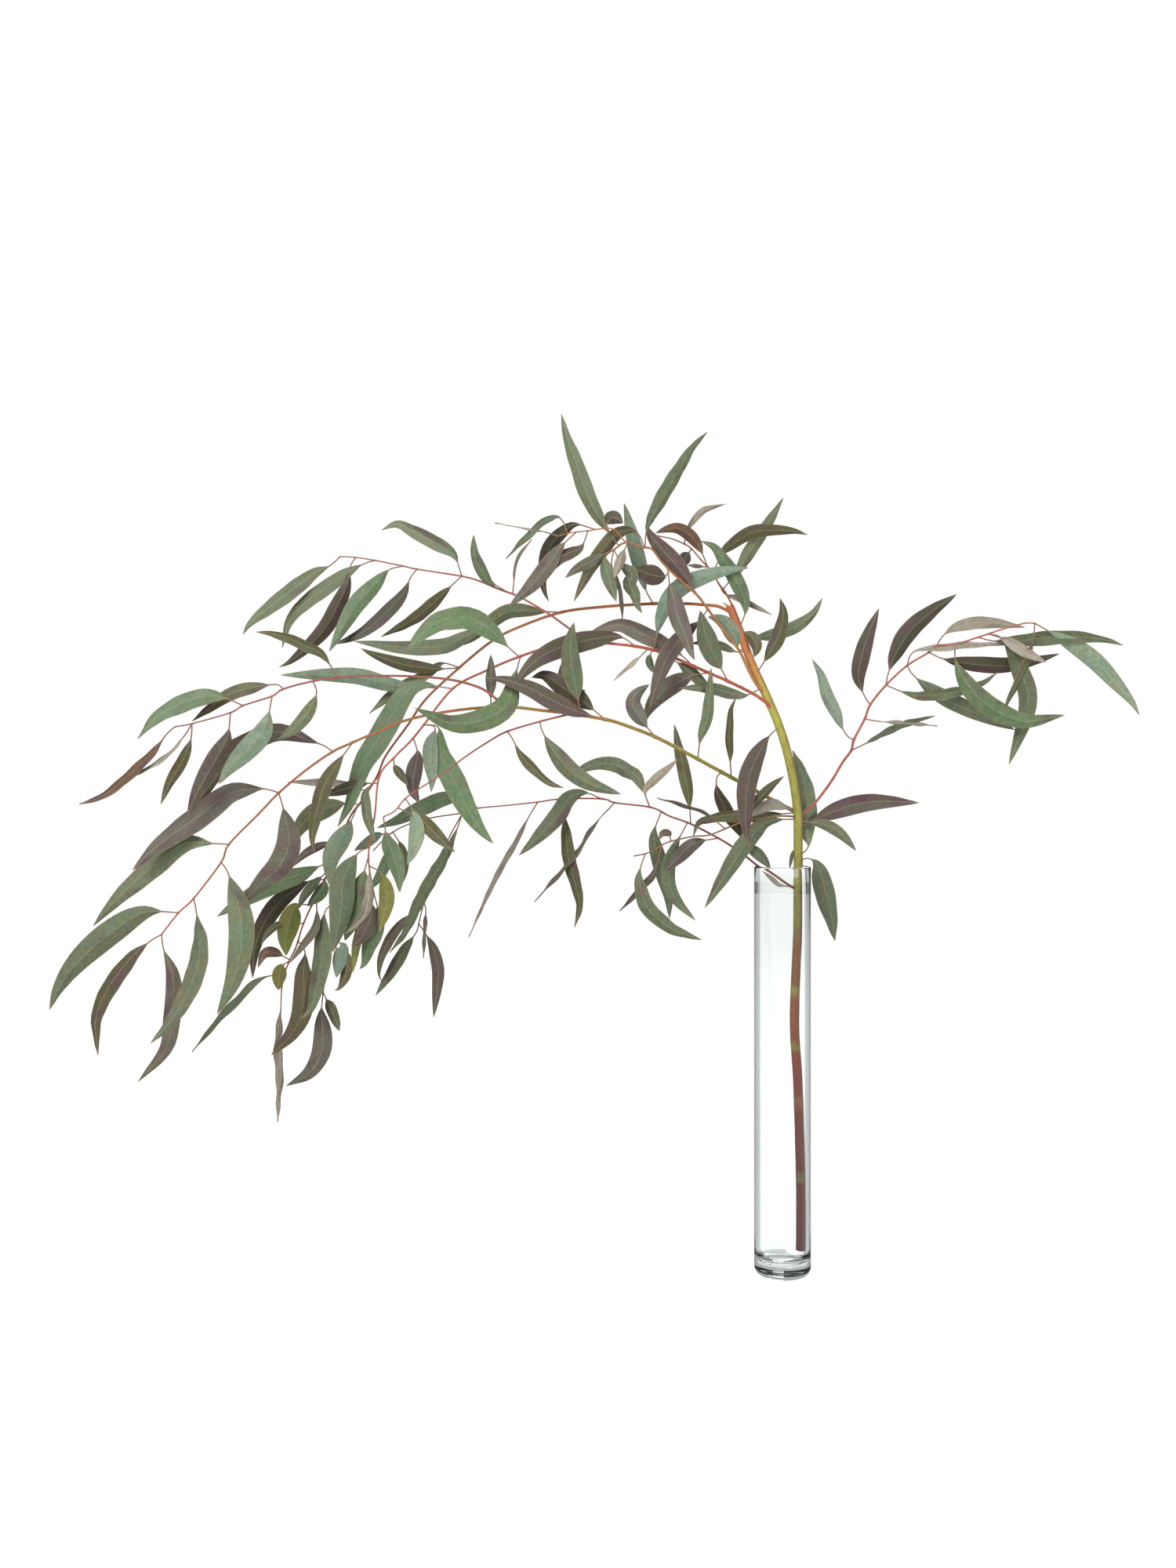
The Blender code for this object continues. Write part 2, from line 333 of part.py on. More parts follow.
# Each branch with what carries it, and its main colour as linear red, green and blue
BRANCHES = (
    Branch("main_stem", None, MAIN_STEM_TWIGS, MAIN_STEM_LEAVES,
           (0.24, 0.12, 0.05)),
    Branch("long_branch", "main_stem", LONG_BRANCH_TWIGS, LONG_BRANCH_LEAVES,
           (0.11, 0.16, 0.12)),
    Branch("pink_branch", "main_stem", PINK_BRANCH_TWIGS, PINK_BRANCH_LEAVES,
           (0.12, 0.23, 0.13)),
    Branch("arch_branch", "main_stem", ARCH_BRANCH_TWIGS, ARCH_BRANCH_LEAVES,
           (0.16, 0.22, 0.13)),
    Branch("low_branch", "main_stem", LOW_BRANCH_TWIGS, LOW_BRANCH_LEAVES,
           (0.10, 0.18, 0.10)),
    Branch("crown_spray", "main_stem", CROWN_SPRAY_TWIGS, CROWN_SPRAY_LEAVES,
           (0.08, 0.12, 0.08)),
    Branch("crown_back_spray", "main_stem", CROWN_BACK_SPRAY_TWIGS, CROWN_BACK_SPRAY_LEAVES,
           (0.12, 0.18, 0.10)),
    Branch("right_branch", "main_stem", RIGHT_BRANCH_TWIGS, RIGHT_BRANCH_LEAVES,
           (0.09, 0.19, 0.11)),
    Branch("dry_twiglet", "main_stem", DRY_TWIGLET_TWIGS, DRY_TWIGLET_LEAVES,
           (0.20, 0.13, 0.07)),
    Branch("upper_left_spray", "long_branch", UPPER_LEFT_SPRAY_TWIGS, UPPER_LEFT_SPRAY_LEAVES,
           (0.19, 0.27, 0.19)),
    Branch("middle_spray", "long_branch", MIDDLE_SPRAY_TWIGS, MIDDLE_SPRAY_LEAVES,
           (0.14, 0.26, 0.15)),
    Branch("high_left_spray", "pink_branch", HIGH_LEFT_SPRAY_TWIGS, HIGH_LEFT_SPRAY_LEAVES,
           (0.10, 0.17, 0.10)),
)


def clear_scene():
    for obj in list(bpy.data.objects):
        bpy.data.objects.remove(obj, do_unlink=True)


def new_collection(name):
    collection = bpy.data.collections.new(name)
    bpy.context.scene.collection.children.link(collection)
    return collection


def material(name, colour, roughness, transmission=0.0):
    made = bpy.data.materials.new(name)
    made.use_nodes = True
    shader = made.node_tree.nodes["Principled BSDF"]
    shader.inputs["Base Color"].default_value = (*colour, 1)
    shader.inputs["Roughness"].default_value = roughness
    shader.inputs["Transmission Weight"].default_value = transmission
    return made


def arc(centre_r, centre_z, radius, start, end):
    """Points of a profile on an arc between two angles in degrees, in the half plane of R and Z."""
    points = []
    for step in range(ARC_STEPS + 1):
        angle = math.radians(start + (end - start) * step / ARC_STEPS)
        points.append((centre_r + radius * math.cos(angle), centre_z + radius * math.sin(angle)))
    return points


def vase_profile():
    """From the rim's top down the outside, across the base, and up the inside."""
    rim = WALL / 2
    inner = VASE_RADIUS - WALL
    points = arc(VASE_RADIUS - rim, VASE_HEIGHT - rim, rim, 90, 0)
    points += arc(VASE_RADIUS - FOOT_RADIUS, FOOT_RADIUS, FOOT_RADIUS, 0, -90)
    points.append((0, 0))
    points.append((0, FLOOR))
    points += arc(inner - BOWL_RADIUS, FLOOR + BOWL_RADIUS, BOWL_RADIUS, -90, 0)
    points += arc(VASE_RADIUS - rim, VASE_HEIGHT - rim, rim, 180, 90)[:-1]
    return points


def make_vase(collection):
    mesh = bpy.data.meshes.new("glass_vase")
    points = vase_profile()
    verts = [(r * MM, 0, z * MM) for r, z in points]
    last = len(verts) - 1
    edges = [(i, i + 1) for i in range(last) if points[i][0] or points[i + 1][0]]
    edges.append((last, 0))
    mesh.from_pydata(verts, edges, [])
    vase = bpy.data.objects.new("glass_vase", mesh)
    collection.objects.link(vase)
    turn = vase.modifiers.new("turn", "SCREW")
    turn.steps = TURN_STEPS
    turn.render_steps = TURN_STEPS
    turn.use_merge_vertices = True
    turn.merge_threshold = 0.00001
    mesh.materials.append(material("clear glass", GLASS_COLOUR, GLASS_ROUGHNESS, 1.0))
    return vase


def placed(point):
    """A laid-out point (X, Z, depth) moved along its line of sight to its depth, as (X, Y, Z)."""
    x, z, depth = point
    grow = 1 + depth / EYE_DISTANCE
    return Vector((EYE_X + (x - EYE_X) * grow, depth, EYE_Z + (z - EYE_Z) * grow))


def smooth(points, spacing):
    """A Catmull-Rom curve through the points, as points about this far apart."""
    points = [Vector(p) for p in points]
    ends = [points[0] * 2 - points[1], *points, points[-1] * 2 - points[-2]]
    made = [points[0]]
    for a, b, c, d in zip(ends, ends[1:], ends[2:], ends[3:]):
        steps = max(1, round((c - b).length / spacing))
        for step in range(1, steps + 1):
            t = step / steps
            bend = a * 2 - b * 5 + c * 4 - d
            turn = b * 3 - a - c * 3 + d
            made.append((b * 2 + (c - a) * t + bend * t**2 + turn * t**3) / 2)
    return made


def shares(points):
    """How far along a polyline each of its points is, from 0 to 1."""
    run = [0.0]
    for a, b in zip(points, points[1:]):
        run.append(run[-1] + (b - a).length)
    return [r / run[-1] for r in run], run[-1]


def at_share(points, marks, share):
    """The place and direction at a share of a polyline's length."""
    i = min(max(bisect.bisect_right(marks, share), 1), len(points) - 1)
    t = (share - marks[i - 1]) / (marks[i] - marks[i - 1])
    return points[i - 1].lerp(points[i], t), (points[i] - points[i - 1]).normalized()


def nearest(point, routes):
    """The point on the routes nearest to a laid-out X and Z, with its depth."""
    best = None
    for route in routes:
        for a, b in zip(route, route[1:]):
            a, b = Vector(a), Vector(b)
            across = (b - a).xy
            t = min(max((Vector(point[:2]) - a.xy).dot(across) / across.length_squared, 0), 1)
            found = a.lerp(b, t)
            gap = (found.xy - Vector(point[:2])).length
            if best is None or gap < best[0]:
                best = (gap, found)
    return best[1]


def rooted(branch):
    """The branch's twigs in space, as radii and points, the first one starting clear of its carrier."""
    carrier = next((b for b in BRANCHES if b.name == branch.carrier), None)
    made = []
    for start, end, *points in branch.twigs:
        route = smooth([placed(p) for p in points], RING_SPACING)
        if carrier and not made:
            route = seated(route, start, carrier)
        made.append((start, end, route))
    return made


def bark_line(carrier):
    """Points a millimetre apart along the carrier's twigs, each with the twig's radius there."""
    line = []
    for start, end, *points in carrier.twigs:
        route = smooth([placed(p) for p in points], 1.0)
        marks, _ = shares(route)
        line += [(point, start + (end - start) * mark) for point, mark in zip(route, marks)]
    return line


def seated(route, radius, carrier):
    """The route from where its cut end, square to it, clears the carrier's bark by the gap."""
    line = bark_line(carrier)
    dense = smooth(route, 0.25)
    for cut, after in zip(dense, dense[1:]):
        axis, thick = min(line, key=lambda b: (b[0] - cut).length)
        out = cut - axis
        slant = out.normalized().dot((after - cut).normalized())
        if out.length >= thick + GAP + radius * math.sqrt(max(0, 1 - slant**2)):
            break
    reach = (cut - route[0]).length + 2 * radius
    return [cut] + [p for p in route if (p - route[0]).length > reach]


def solid_from(obj):
    """A mesh object from a curve's tube, with its caps welded to its sides."""
    graph = bpy.context.evaluated_depsgraph_get()
    mesh = bpy.data.meshes.new_from_object(obj.evaluated_get(graph))
    bm = bmesh.new()
    bm.from_mesh(mesh)
    bmesh.ops.remove_doubles(bm, verts=bm.verts, dist=0.00001)
    bmesh.ops.recalc_face_normals(bm, faces=bm.faces)
    bmesh.ops.triangulate(bm, faces=bm.faces)
    bm.to_mesh(mesh)
    bm.free()
    name = obj.name
    place = obj.matrix_world.copy()
    bpy.data.objects.remove(obj)
    made = bpy.data.objects.new(name, mesh)
    made.matrix_world = place
    return made


def tube(name, start, end, route, sides, collection):
    """A tapered twig: a beveled curve whose rings follow the route."""
    curve = bpy.data.curves.new(name, "CURVE")
    curve.dimensions = "3D"
    curve.bevel_depth = start * MM
    curve.bevel_resolution = sides // 2 - 2
    curve.use_fill_caps = True
    spline = curve.splines.new("POLY")
    spline.points.add(len(route) - 1)
    marks, _ = shares(route)
    for point, place, mark in zip(spline.points, route, marks):
        point.co = (*(place * MM), 1)
        point.radius = (start + (end - start) * mark) / start
    obj = bpy.data.objects.new(name, curve)
    collection.objects.link(obj)
    made = solid_from(obj)
    collection.objects.link(made)
    return made


def half_width(share, full):
    """A lance-shaped outline, widest a little before its middle, as half the width there."""
    return full / 2 * math.sin(math.pi * min(share, 1) ** WIDEST_AT) ** FULLNESS


def blade(name, seen, lean, points, routes, side, collection):
    """One leaf: a strip two points wide along its midrib, rolled about it, then given thickness."""
    base = nearest(points[0], routes)
    flat = [base] + [Vector((*p, base.z)) for p in points if (Vector(p) - base.xy).length > CLOSE_TO_BASE]
    marks, _ = shares(flat)
    middle = smooth([placed((p.x, p.y, base.z + lean * m)) for p, m in zip(flat, marks)], MIDRIB_SPACING)
    marks, length = shares(middle)
    seen *= EDGE_ALLOWANCE
    full = max(seen, min(NATURAL_WIDTH * length, WIDEST_NATURAL))
    roll = max(math.acos(min(1, seen / full)), EVEN_ROLL) * side
    stalk = min(PETIOLE, PETIOLE_SHARE * length) / length
    sections = LONG_SECTIONS if length > LONG_BLADE else SECTIONS
    stations = [(0, PETIOLE_WIDTH / 2), (stalk, PETIOLE_WIDTH / 2)]
    stations += [(stalk + s * (1 - stalk), half_width(s, full)) for s in sections]
    stations.append((1, TIP_WIDTH / 2))
    bm = bmesh.new()
    rows = []
    for mark, half in stations:
        place, ahead = at_share(middle, marks, mark)
        across = ahead.cross(Vector((0, 1, 0))).normalized()
        out = across.cross(ahead)
        edge = across * math.cos(roll) + out * math.sin(roll)
        rows.append([bm.verts.new((place + edge * half * sign) * MM) for sign in (-1, 1)])
    for (a, b), (c, d) in zip(rows, rows[1:]):
        bm.faces.new((a, b, d))
        bm.faces.new((a, d, c))
    mesh = bpy.data.meshes.new(name)
    bm.to_mesh(mesh)
    bm.free()
    obj = bpy.data.objects.new(name, mesh)
    collection.objects.link(obj)
    shell = obj.modifiers.new("thickness", "SOLIDIFY")
    shell.thickness = BLADE_THICKNESS * MM
    shell.offset = 0
    return obj


def fuse(target, parts):
    """Joins a collection's objects to the target in one Boolean union, and removes them."""
    union = target.modifiers.new("fuse", "BOOLEAN")
    union.operation = "UNION"
    union.operand_type = "COLLECTION"
    union.collection = parts
    union.solver = "MANIFOLD"
    graph = bpy.context.evaluated_depsgraph_get()
    mesh = bpy.data.meshes.new_from_object(target.evaluated_get(graph))
    target.modifiers.clear()
    target.data = mesh
    for obj in list(parts.objects):
        bpy.data.objects.remove(obj)
    bpy.data.collections.remove(parts)


def make_branch(branch, collection):
    name = branch.name
    parts = new_collection(f"{name}_parts")
    (start, end, route), *others = rooted(branch)
    if branch.carrier:
        target = tube(name, start, end, route, TWIG_SIDES, collection)
    else:
        target = tube(name, start, end, route, STEM_SIDES, collection)
        into_stem = route[-1].lerp(route[-2], SNAG_ROOT)
        tube("snag", SNAG_RADIUS, TIP_WIDTH / 2, [into_stem, placed(SNAG)], TWIG_SIDES, parts)
    for number, (start, end, route) in enumerate(others):
        tube(f"{name}_twig_{number}", start, end, route, TWIG_SIDES, parts)
    routes = [twig[2:] for twig in branch.twigs]
    for number, (seen, lean, *points) in enumerate(branch.leaves):
        side = 1 if number % 2 else -1
        blade(f"{name}_leaf_{number}", seen, lean, points, routes, side, parts)
    fuse(target, parts)
    target.data.materials.clear()
    target.data.materials.append(material(name.replace("_", " "), branch.colour, LEAF_ROUGHNESS))


clear_scene()
eucalyptus = new_collection("eucalyptus_branch")
make_vase(eucalyptus)
for branch in BRANCHES:
    make_branch(branch, eucalyptus)
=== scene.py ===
import bisect
import math
import random

import bpy
import numpy as np
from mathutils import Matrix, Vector, noise


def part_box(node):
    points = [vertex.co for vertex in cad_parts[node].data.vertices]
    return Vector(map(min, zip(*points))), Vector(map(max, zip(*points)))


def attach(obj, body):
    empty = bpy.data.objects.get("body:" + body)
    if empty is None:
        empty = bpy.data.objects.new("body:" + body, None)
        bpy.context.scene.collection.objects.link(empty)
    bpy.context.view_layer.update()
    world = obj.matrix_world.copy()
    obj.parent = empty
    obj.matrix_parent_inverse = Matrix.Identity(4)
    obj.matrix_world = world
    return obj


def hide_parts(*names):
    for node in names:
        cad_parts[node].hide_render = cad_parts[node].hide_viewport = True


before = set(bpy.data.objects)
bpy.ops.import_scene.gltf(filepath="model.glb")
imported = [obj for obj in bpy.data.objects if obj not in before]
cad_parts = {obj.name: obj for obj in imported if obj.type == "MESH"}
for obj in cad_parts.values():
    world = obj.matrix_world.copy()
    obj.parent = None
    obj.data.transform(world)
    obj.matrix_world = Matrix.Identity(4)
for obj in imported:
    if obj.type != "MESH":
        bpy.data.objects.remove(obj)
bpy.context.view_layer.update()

# The vase is a straight cylinder of clear soda-lime glass, blown in a mould, with a heavy base
# whose inside is rounded like a bowl. Its rim is cut and fire-polished, and it stands on the table.
MM = 0.001
vase_low, vase_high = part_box("glass_vase")
VASE_RADIUS = (vase_high[0] - vase_low[0]) / 2 / MM
VASE_HEIGHT = vase_high[2] / MM
WALL = 4.0
FLOOR = 18.0
BOWL_RADIUS = 16.0
FOOT_RADIUS = 11.0
RIM_RADIUS = WALL / 2
ARC_STEPS = 10
VASE_SIDES = 144
# Shares of the radius at which rings lie on the flat base, and heights of the rings up each wall
BASE_RINGS = (0.0, 0.4, 0.75)
OUTER_RINGS = np.linspace(40, VASE_HEIGHT - 20, 10)
INNER_RINGS = np.linspace(VASE_HEIGHT - 20, 60, 10)
GLASS_TINT = "#fbfefd"
GLASS_IOR = 1.5
# The glass is painted grey at its outline, from one facing value to the next, and between two heights
# in its base, where the way through it is long: painted shade for the dark reflections and refraction
# seen there. Each height fades in or out over a short stretch.
EDGE_PAINTED_SHADE = "#8f9496"
EDGE_FACING = (0.48, 0.6)
BASE_PAINTED_SHADE = "#a9adad"
BASE_FADE_IN = (0.0, 3.0)
BASE_FADE_OUT = (FLOOR + 2, FLOOR - 1)
RIPPLE_MM = 28.0
RIPPLE_STRETCH = 5
RIPPLE_HEIGHT_MM = 0.012


def linear(code):
    """An sRGB hex code as linear red, green, blue and an alpha of one."""
    parts = [int(code[i:i + 2], 16) / 255 for i in (1, 3, 5)]
    return (*[p / 12.92 if p <= 0.04045 else ((p + 0.055) / 1.055) ** 2.4 for p in parts], 1.0)


def add(tree, kind, feeds=None, **settings):
    """Adds a node with its settings; feeds gives inputs a socket to be linked to or a value to hold."""
    made = tree.nodes.new("ShaderNode" + kind)
    for key, value in settings.items():
        setattr(made, key, value)
    for key, value in (feeds or {}).items():
        if isinstance(value, bpy.types.NodeSocket):
            tree.links.new(value, made.inputs[key])
        else:
            made.inputs[key].default_value = value
    return made


def new_material(name):
    """A material with its node tree and its Principled shader."""
    made = bpy.data.materials.new(name)
    made.use_nodes = True
    return made, made.node_tree, made.node_tree.nodes["Principled BSDF"]


def mould_blown_clear_glass():
    # Clear glass blown in a mould: colourless, sharp in reflection, with a slow ripple up the wall. It is
    # painted grey where it is seen through a great thickness, along its outline and in its base: painted
    # shade for the dark reflections and refraction seen there.
    made, tree, shader = new_material("mould-blown clear glass")
    shader.inputs["Roughness"].default_value = 0.0
    shader.inputs["IOR"].default_value = GLASS_IOR
    shader.inputs["Transmission Weight"].default_value = 1.0
    place = add(tree, "TexCoord").outputs["Object"]
    height = add(tree, "SeparateXYZ", {0: place}).outputs["Z"]
    # Grey mixed in by facing and by height is painted shade for the dark reflections and refraction
    facing = add(tree, "LayerWeight", {"Blend": 0.5}).outputs["Facing"]
    edge = add(tree, "MapRange", {"Value": facing, "From Min": EDGE_FACING[0],
                                  "From Max": EDGE_FACING[1]})
    above = add(tree, "MapRange", {"Value": height, "From Min": BASE_FADE_IN[0] * MM,
                                   "From Max": BASE_FADE_IN[1] * MM})
    below = add(tree, "MapRange", {"Value": height, "From Min": BASE_FADE_OUT[0] * MM,
                                   "From Max": BASE_FADE_OUT[1] * MM})
    foot = add(tree, "Math", {0: above.outputs[0], 1: below.outputs[0]}, operation="MULTIPLY")
    thick = add(tree, "Mix", {0: foot.outputs[0], 6: linear(GLASS_TINT), 7: linear(BASE_PAINTED_SHADE)},
                data_type="RGBA")
    shaded = add(tree, "Mix", {0: edge.outputs[0], 6: thick.outputs[2], 7: linear(EDGE_PAINTED_SHADE)},
                 data_type="RGBA")
    tree.links.new(shaded.outputs[2], shader.inputs["Base Color"])
    per_ripple = 1 / (RIPPLE_MM * MM)
    scale = (per_ripple, per_ripple, per_ripple / RIPPLE_STRETCH)
    drawn = add(tree, "Mapping", {"Vector": place, "Scale": scale})
    ripple = add(tree, "TexNoise", {"Vector": drawn.outputs["Vector"], "Scale": 1.0, "Detail": 0.0})
    bump = add(tree, "Bump", {"Height": ripple.outputs["Fac"], "Distance": RIPPLE_HEIGHT_MM * MM})
    tree.links.new(bump.outputs["Normal"], shader.inputs["Normal"])
    return made


def arc(centre_r, centre_z, radius, start, end):
    """Points on an arc between two angles in degrees, in the half plane of radius and height."""
    angles = np.radians(np.linspace(start, end, ARC_STEPS + 1))
    return [(centre_r + radius * math.cos(a), centre_z + radius * math.sin(a)) for a in angles]


def vase_profile():
    """From the middle of the base outside, up the wall, over the rim and down to the bowl."""
    inner = VASE_RADIUS - WALL
    points = [(VASE_RADIUS * share, 0.0) for share in BASE_RINGS]
    points += arc(VASE_RADIUS - FOOT_RADIUS, FOOT_RADIUS, FOOT_RADIUS, -90, 0)
    points += [(VASE_RADIUS, z) for z in OUTER_RINGS]
    points += arc(VASE_RADIUS - RIM_RADIUS, VASE_HEIGHT - RIM_RADIUS, RIM_RADIUS, 0, 180)
    points += [(inner, z) for z in INNER_RINGS]
    points += arc(inner - BOWL_RADIUS, FLOOR + BOWL_RADIUS, BOWL_RADIUS, 0, -90)
    points.append((0.0, FLOOR))
    return points


def turned(name, profile, sides):
    """A closed solid turned about the vertical axis from a profile that starts and ends on it."""
    verts = [(0, 0, profile[0][1])]
    angles = [2 * math.pi * i / sides for i in range(sides)]
    rings = profile[1:-1]
    for r, z in rings:
        verts += [(r * math.cos(a), r * math.sin(a), z) for a in angles]
    verts.append((0, 0, profile[-1][1]))
    last = len(verts) - 1
    faces = [(0, 1 + (i + 1) % sides, 1 + i) for i in range(sides)]
    for row in range(len(rings) - 1):
        low = 1 + row * sides
        for i in range(sides):
            j = (i + 1) % sides
            faces.append((low + i, low + j, low + sides + j, low + sides + i))
    top = 1 + (len(rings) - 1) * sides
    faces += [(top + i, top + (i + 1) % sides, last) for i in range(sides)]
    mesh = bpy.data.meshes.new(name)
    mesh.from_pydata([(x * MM, y * MM, z * MM) for x, y, z in verts], [], faces)
    mesh.shade_smooth()
    made = bpy.data.objects.new(name, mesh)
    bpy.context.scene.collection.objects.link(made)
    return made


vase = turned("glass_cylinder", vase_profile(), VASE_SIDES)
vase.data.materials.append(mould_blown_clear_glass())
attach(vase, "root")
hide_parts("glass_vase")

# The stem is a cut eucalyptus branch, as thick as a finger, whose smooth bark ripens from green to
# red-brown. It grew as one piece with its own few leaves, and it leans in the glass on its cut foot.
# The branch is laid out in mm as seen, level, from this far in front of a point at these X and Z.
EYE_X = -248.0
EYE_Z = 625.0
EYE_DISTANCE = 2000.0
# Twigs are the radius at each end in mm and then (X, Z, depth) points. Leaves are the width seen, a
# tone, how far the tip lies behind the base, and then (X, Z) points from base to tip.
MAIN_STEM_TWIGS = (
    (6.75, 5.3, (24.1, 30.5, 1), (24.1, 90, 2), (23.3, 142, 3), (20, 245, 5), (16, 305, 6.5),
     (16, 346, 7.5), (18, 396, 8.5), (20, 445, 9.5), (20, 545, 11.5), (19, 593, 12.5), (12.6, 636, 14),
     (4, 673, 15), (-7, 706, 16), (-22, 741, 17.5), (-40.5, 782, 19), (-54, 819, 21), (-67, 852, 22.5)),
)
MAIN_STEM_LEAVES = (
    (24, "g", 30, (23, 532), (33, 545), (31, 565), (32, 585), (30, 615), (24, 640), (13, 668)),
    (21, "p", 25, (24, 570), (36, 577), (70, 592), (103, 601), (135, 603), (174, 601)),
    (13, "g", -15, (22, 579), (35, 576), (57, 572), (77, 559), (94, 540)),
    (24, "g", 30, (22, 527), (34, 530), (45, 520), (55, 487), (63, 454), (67, 425)),
    (4, "k", -6, (14, 540), (11, 528), (9, 516)),
    (23, "p", -90, (-8, 695), (-22, 679), (-37, 650), (-45, 622), (-47, 593), (-46, 564), (-41, 546)),
    (13, "w", -30, (11, 592), (-8, 599), (-23, 596), (-43, 583)),
    (20, "g", -60, (12, 580), (-8, 579), (-24, 574), (-38, 559), (-53, 540), (-68, 517), (-99, 467)),
    (13, "o", -20, (12, 588), (-13, 586), (-37, 585), (-60, 586), (-95, 581), (-108, 574), (-114, 557)),
    (16, "o", -25, (-30, 767), (-16, 793), (-5, 814), (1, 842), (-3, 862)),
    (15, "g", 15, (-42, 819), (-36, 813), (-18, 814), (1, 819), (20, 827), (39, 842), (51, 862)),
    (17, "f", -20, (-52, 824), (-47, 846), (-51, 867), (-62, 890), (-74, 909), (-87, 927), (-104, 935)),
    (10, "g", -10, (-55, 793), (-66, 796), (-79, 802), (-104, 805), (-117, 804)),
    (18, "b", -8, (-55, 796), (-61, 810), (-70, 827), (-83, 836), (-95, 838)),
    (14, "o", -25, (-53, 825), (-39, 812), (-33, 800), (-36, 787)),
)
STEM_SIDES = 28
STEM_RING_MM = 3.0
STEM_UNEVEN = 0.03
STEM_UNEVEN_MM = 14
# The stem's colours are read this far out from its axis.
BARK_READ_MM = 6
TWIG_SIDES = 10
RING_MM = 4.0
# Points of a twig or a leaf that lie closer than this to where it starts are left out.
CLOSE_TO_ROOT_MM = 2
CLOSE_TO_BASE_MM = 4
# A twig is thicker at its nodes and where it leaves its carrier, and thins out over a few mm.
NODE_SWELL = 0.22
NODE_SWELL_MM = 2.5
COLLAR_SWELL = 0.45
COLLAR_MM = 5.0
# The stem's bark by height in mm, from its cut foot to its broken top
STEM_BARK = (
    (30, "#562226"), (60, "#692420"), (116, "#6c251c"), (124, "#756e30"), (131, "#71271b"),
    (205, "#85301a"), (222, "#955f3c"), (232, "#8a3018"), (281, "#943a1c"), (289, "#918e32"),
    (296, "#974a24"), (352, "#975224"), (361, "#9f9b3c"), (369, "#96582a"), (415, "#965e2e"),
    (438, "#906e32"), (450, "#948c36"), (560, "#8f8c42"), (675, "#969044"), (700, "#9f9c46"),
    (745, "#a49a48"), (768, "#b88548"), (800, "#ba7448"), (851, "#ae6242"), (862, "#8a5c40"),
)
# Where the stem's left side is darkened by painted shade, its shadow side, from below in mm, and how much
LEFT_SHADE_BY_HEIGHT = ((30, 0.2), (385, 0.4), (440, 0.8), (505, 0.75), (560, 0.4), (700, 0.35), (862, 0.5))
BARK_IN_PAINTED_SHADE = "#613020"
# The edges of the bark's bands wander up and down by this much, and the edge of the painted shade frays
BAND_WANDER_MM = 5
BAND_CLOUD_MM = 9
PAINTED_SHADE_CLOUD_MM = 16
PAINTED_SHADE_STEEPNESS = 1.1
PAINTED_SHADE_REACH = 0.1
PAINTED_SHADE_FRAY = 0.6
# Clouds along a twig that ripen its colour early or late, and shade it
TWIG_CLOUD_MM = 22
TWIG_RIPENING = 0.5
TWIG_SHADING = 0.2
SPLINTER = "#b08a58"
SNAG = (-76.0, 857.0, 21.0)
SNAG_RADIUS = 2.4
SNAG_TAPER = 0.7
SNAG_TIP = 0.4
SNAG_SIDES = 7
SNAG_SQUASH = 0.5
STEM_LEAF_STALK = "#8f7a40"
STUB_RADIUS = 1.6
STUB_LEAN = Vector((0.8, 0.0, 0.6))
STUB_INSET = 4
STEM_STUBS = ((27.5, 431, 9), (22.5, 368, 8), (26.5, 250, 5))

# Blades are leathery and thin, with a raised midrib, a stalk and a drawn-out tip.
PETIOLE_MM = 17.0
PETIOLE_SHARE = 0.17
PETIOLE_RADIUS = 0.85
EDGE_ALLOWANCE = 1.18
MIDRIB_SPACING = 3.0
BASE_TAPER = 0.07
NATURAL_WIDTH = 0.13
WIDEST_NATURAL = 22.0
EVEN_ROLL = math.radians(14)
WIDEST_AT = 0.78
FULLNESS = 0.8
TIP_HALF_WIDTH = 0.22
# How thick a blade is, at its middle, its edges and its rib, which gets thinner towards the tip
BLADE_MM = 0.42
MARGIN_MM = 0.2
MARGIN_POWER = 8
RIB_MM = 1.05
RIB_WIDTH_MM = 0.55
RIB_THINNING = 0.65
THINNEST_MM = 0.1
BLADE_FADE_MM = 2
# Rows along the blade and along its stalk, and places across it from one edge to the other
BLADE_ROWS = 24
STALK_ROWS = 4
COLUMNS = (-1.0, -0.96, -0.82, -0.55, -0.25, -0.07, 0.0, 0.07, 0.25, 0.55, 0.82, 0.96, 1.0)
# The fold along the rib, rounded off so that it has no crease, the twist and the waves of the edges
FOLD_DEGREES = (5.0, 15.0)
FOLD_ROUNDING = 0.5
FOLD_DROP = 0.7
FOLD_FADE_MM = 3
TWIST_DEGREES = 16.0
UNTWISTED_AT = 0.4
WAVE_MM = (0.3, 1.1)
WAVE_LENGTH_MM = (26.0, 44.0)
WAVE_PHASE = 6.3
# Each tone is a colour, the browner one it clouds into, and how far purple spreads over the leaf.
TONES = {
    "f": ("#536e49", "#637152", -0.30), "b": ("#6c8371", "#79856d", -0.35),
    "g": ("#57684f", "#646546", -0.2), "o": ("#4b5133", "#574c2d", -0.05),
    "k": ("#3a3d29", "#453726", 0.05), "m": ("#5a5c4f", "#625348", 0.02),
    "p": ("#4f4b42", "#564539", 0.16), "y": ("#66702e", "#77702c", -0.35),
    "w": ("#958d83", "#958a77", -0.05), "r": ("#604435", "#6a4e32", 0.10),
}
# How much lighter or darker a leaf is than its tone, and how much redder or bluer
LIGHTNESS = (0.84, 1.14)
REDNESS = (0.95, 1.07)
BLUENESS = (0.92, 1.06)
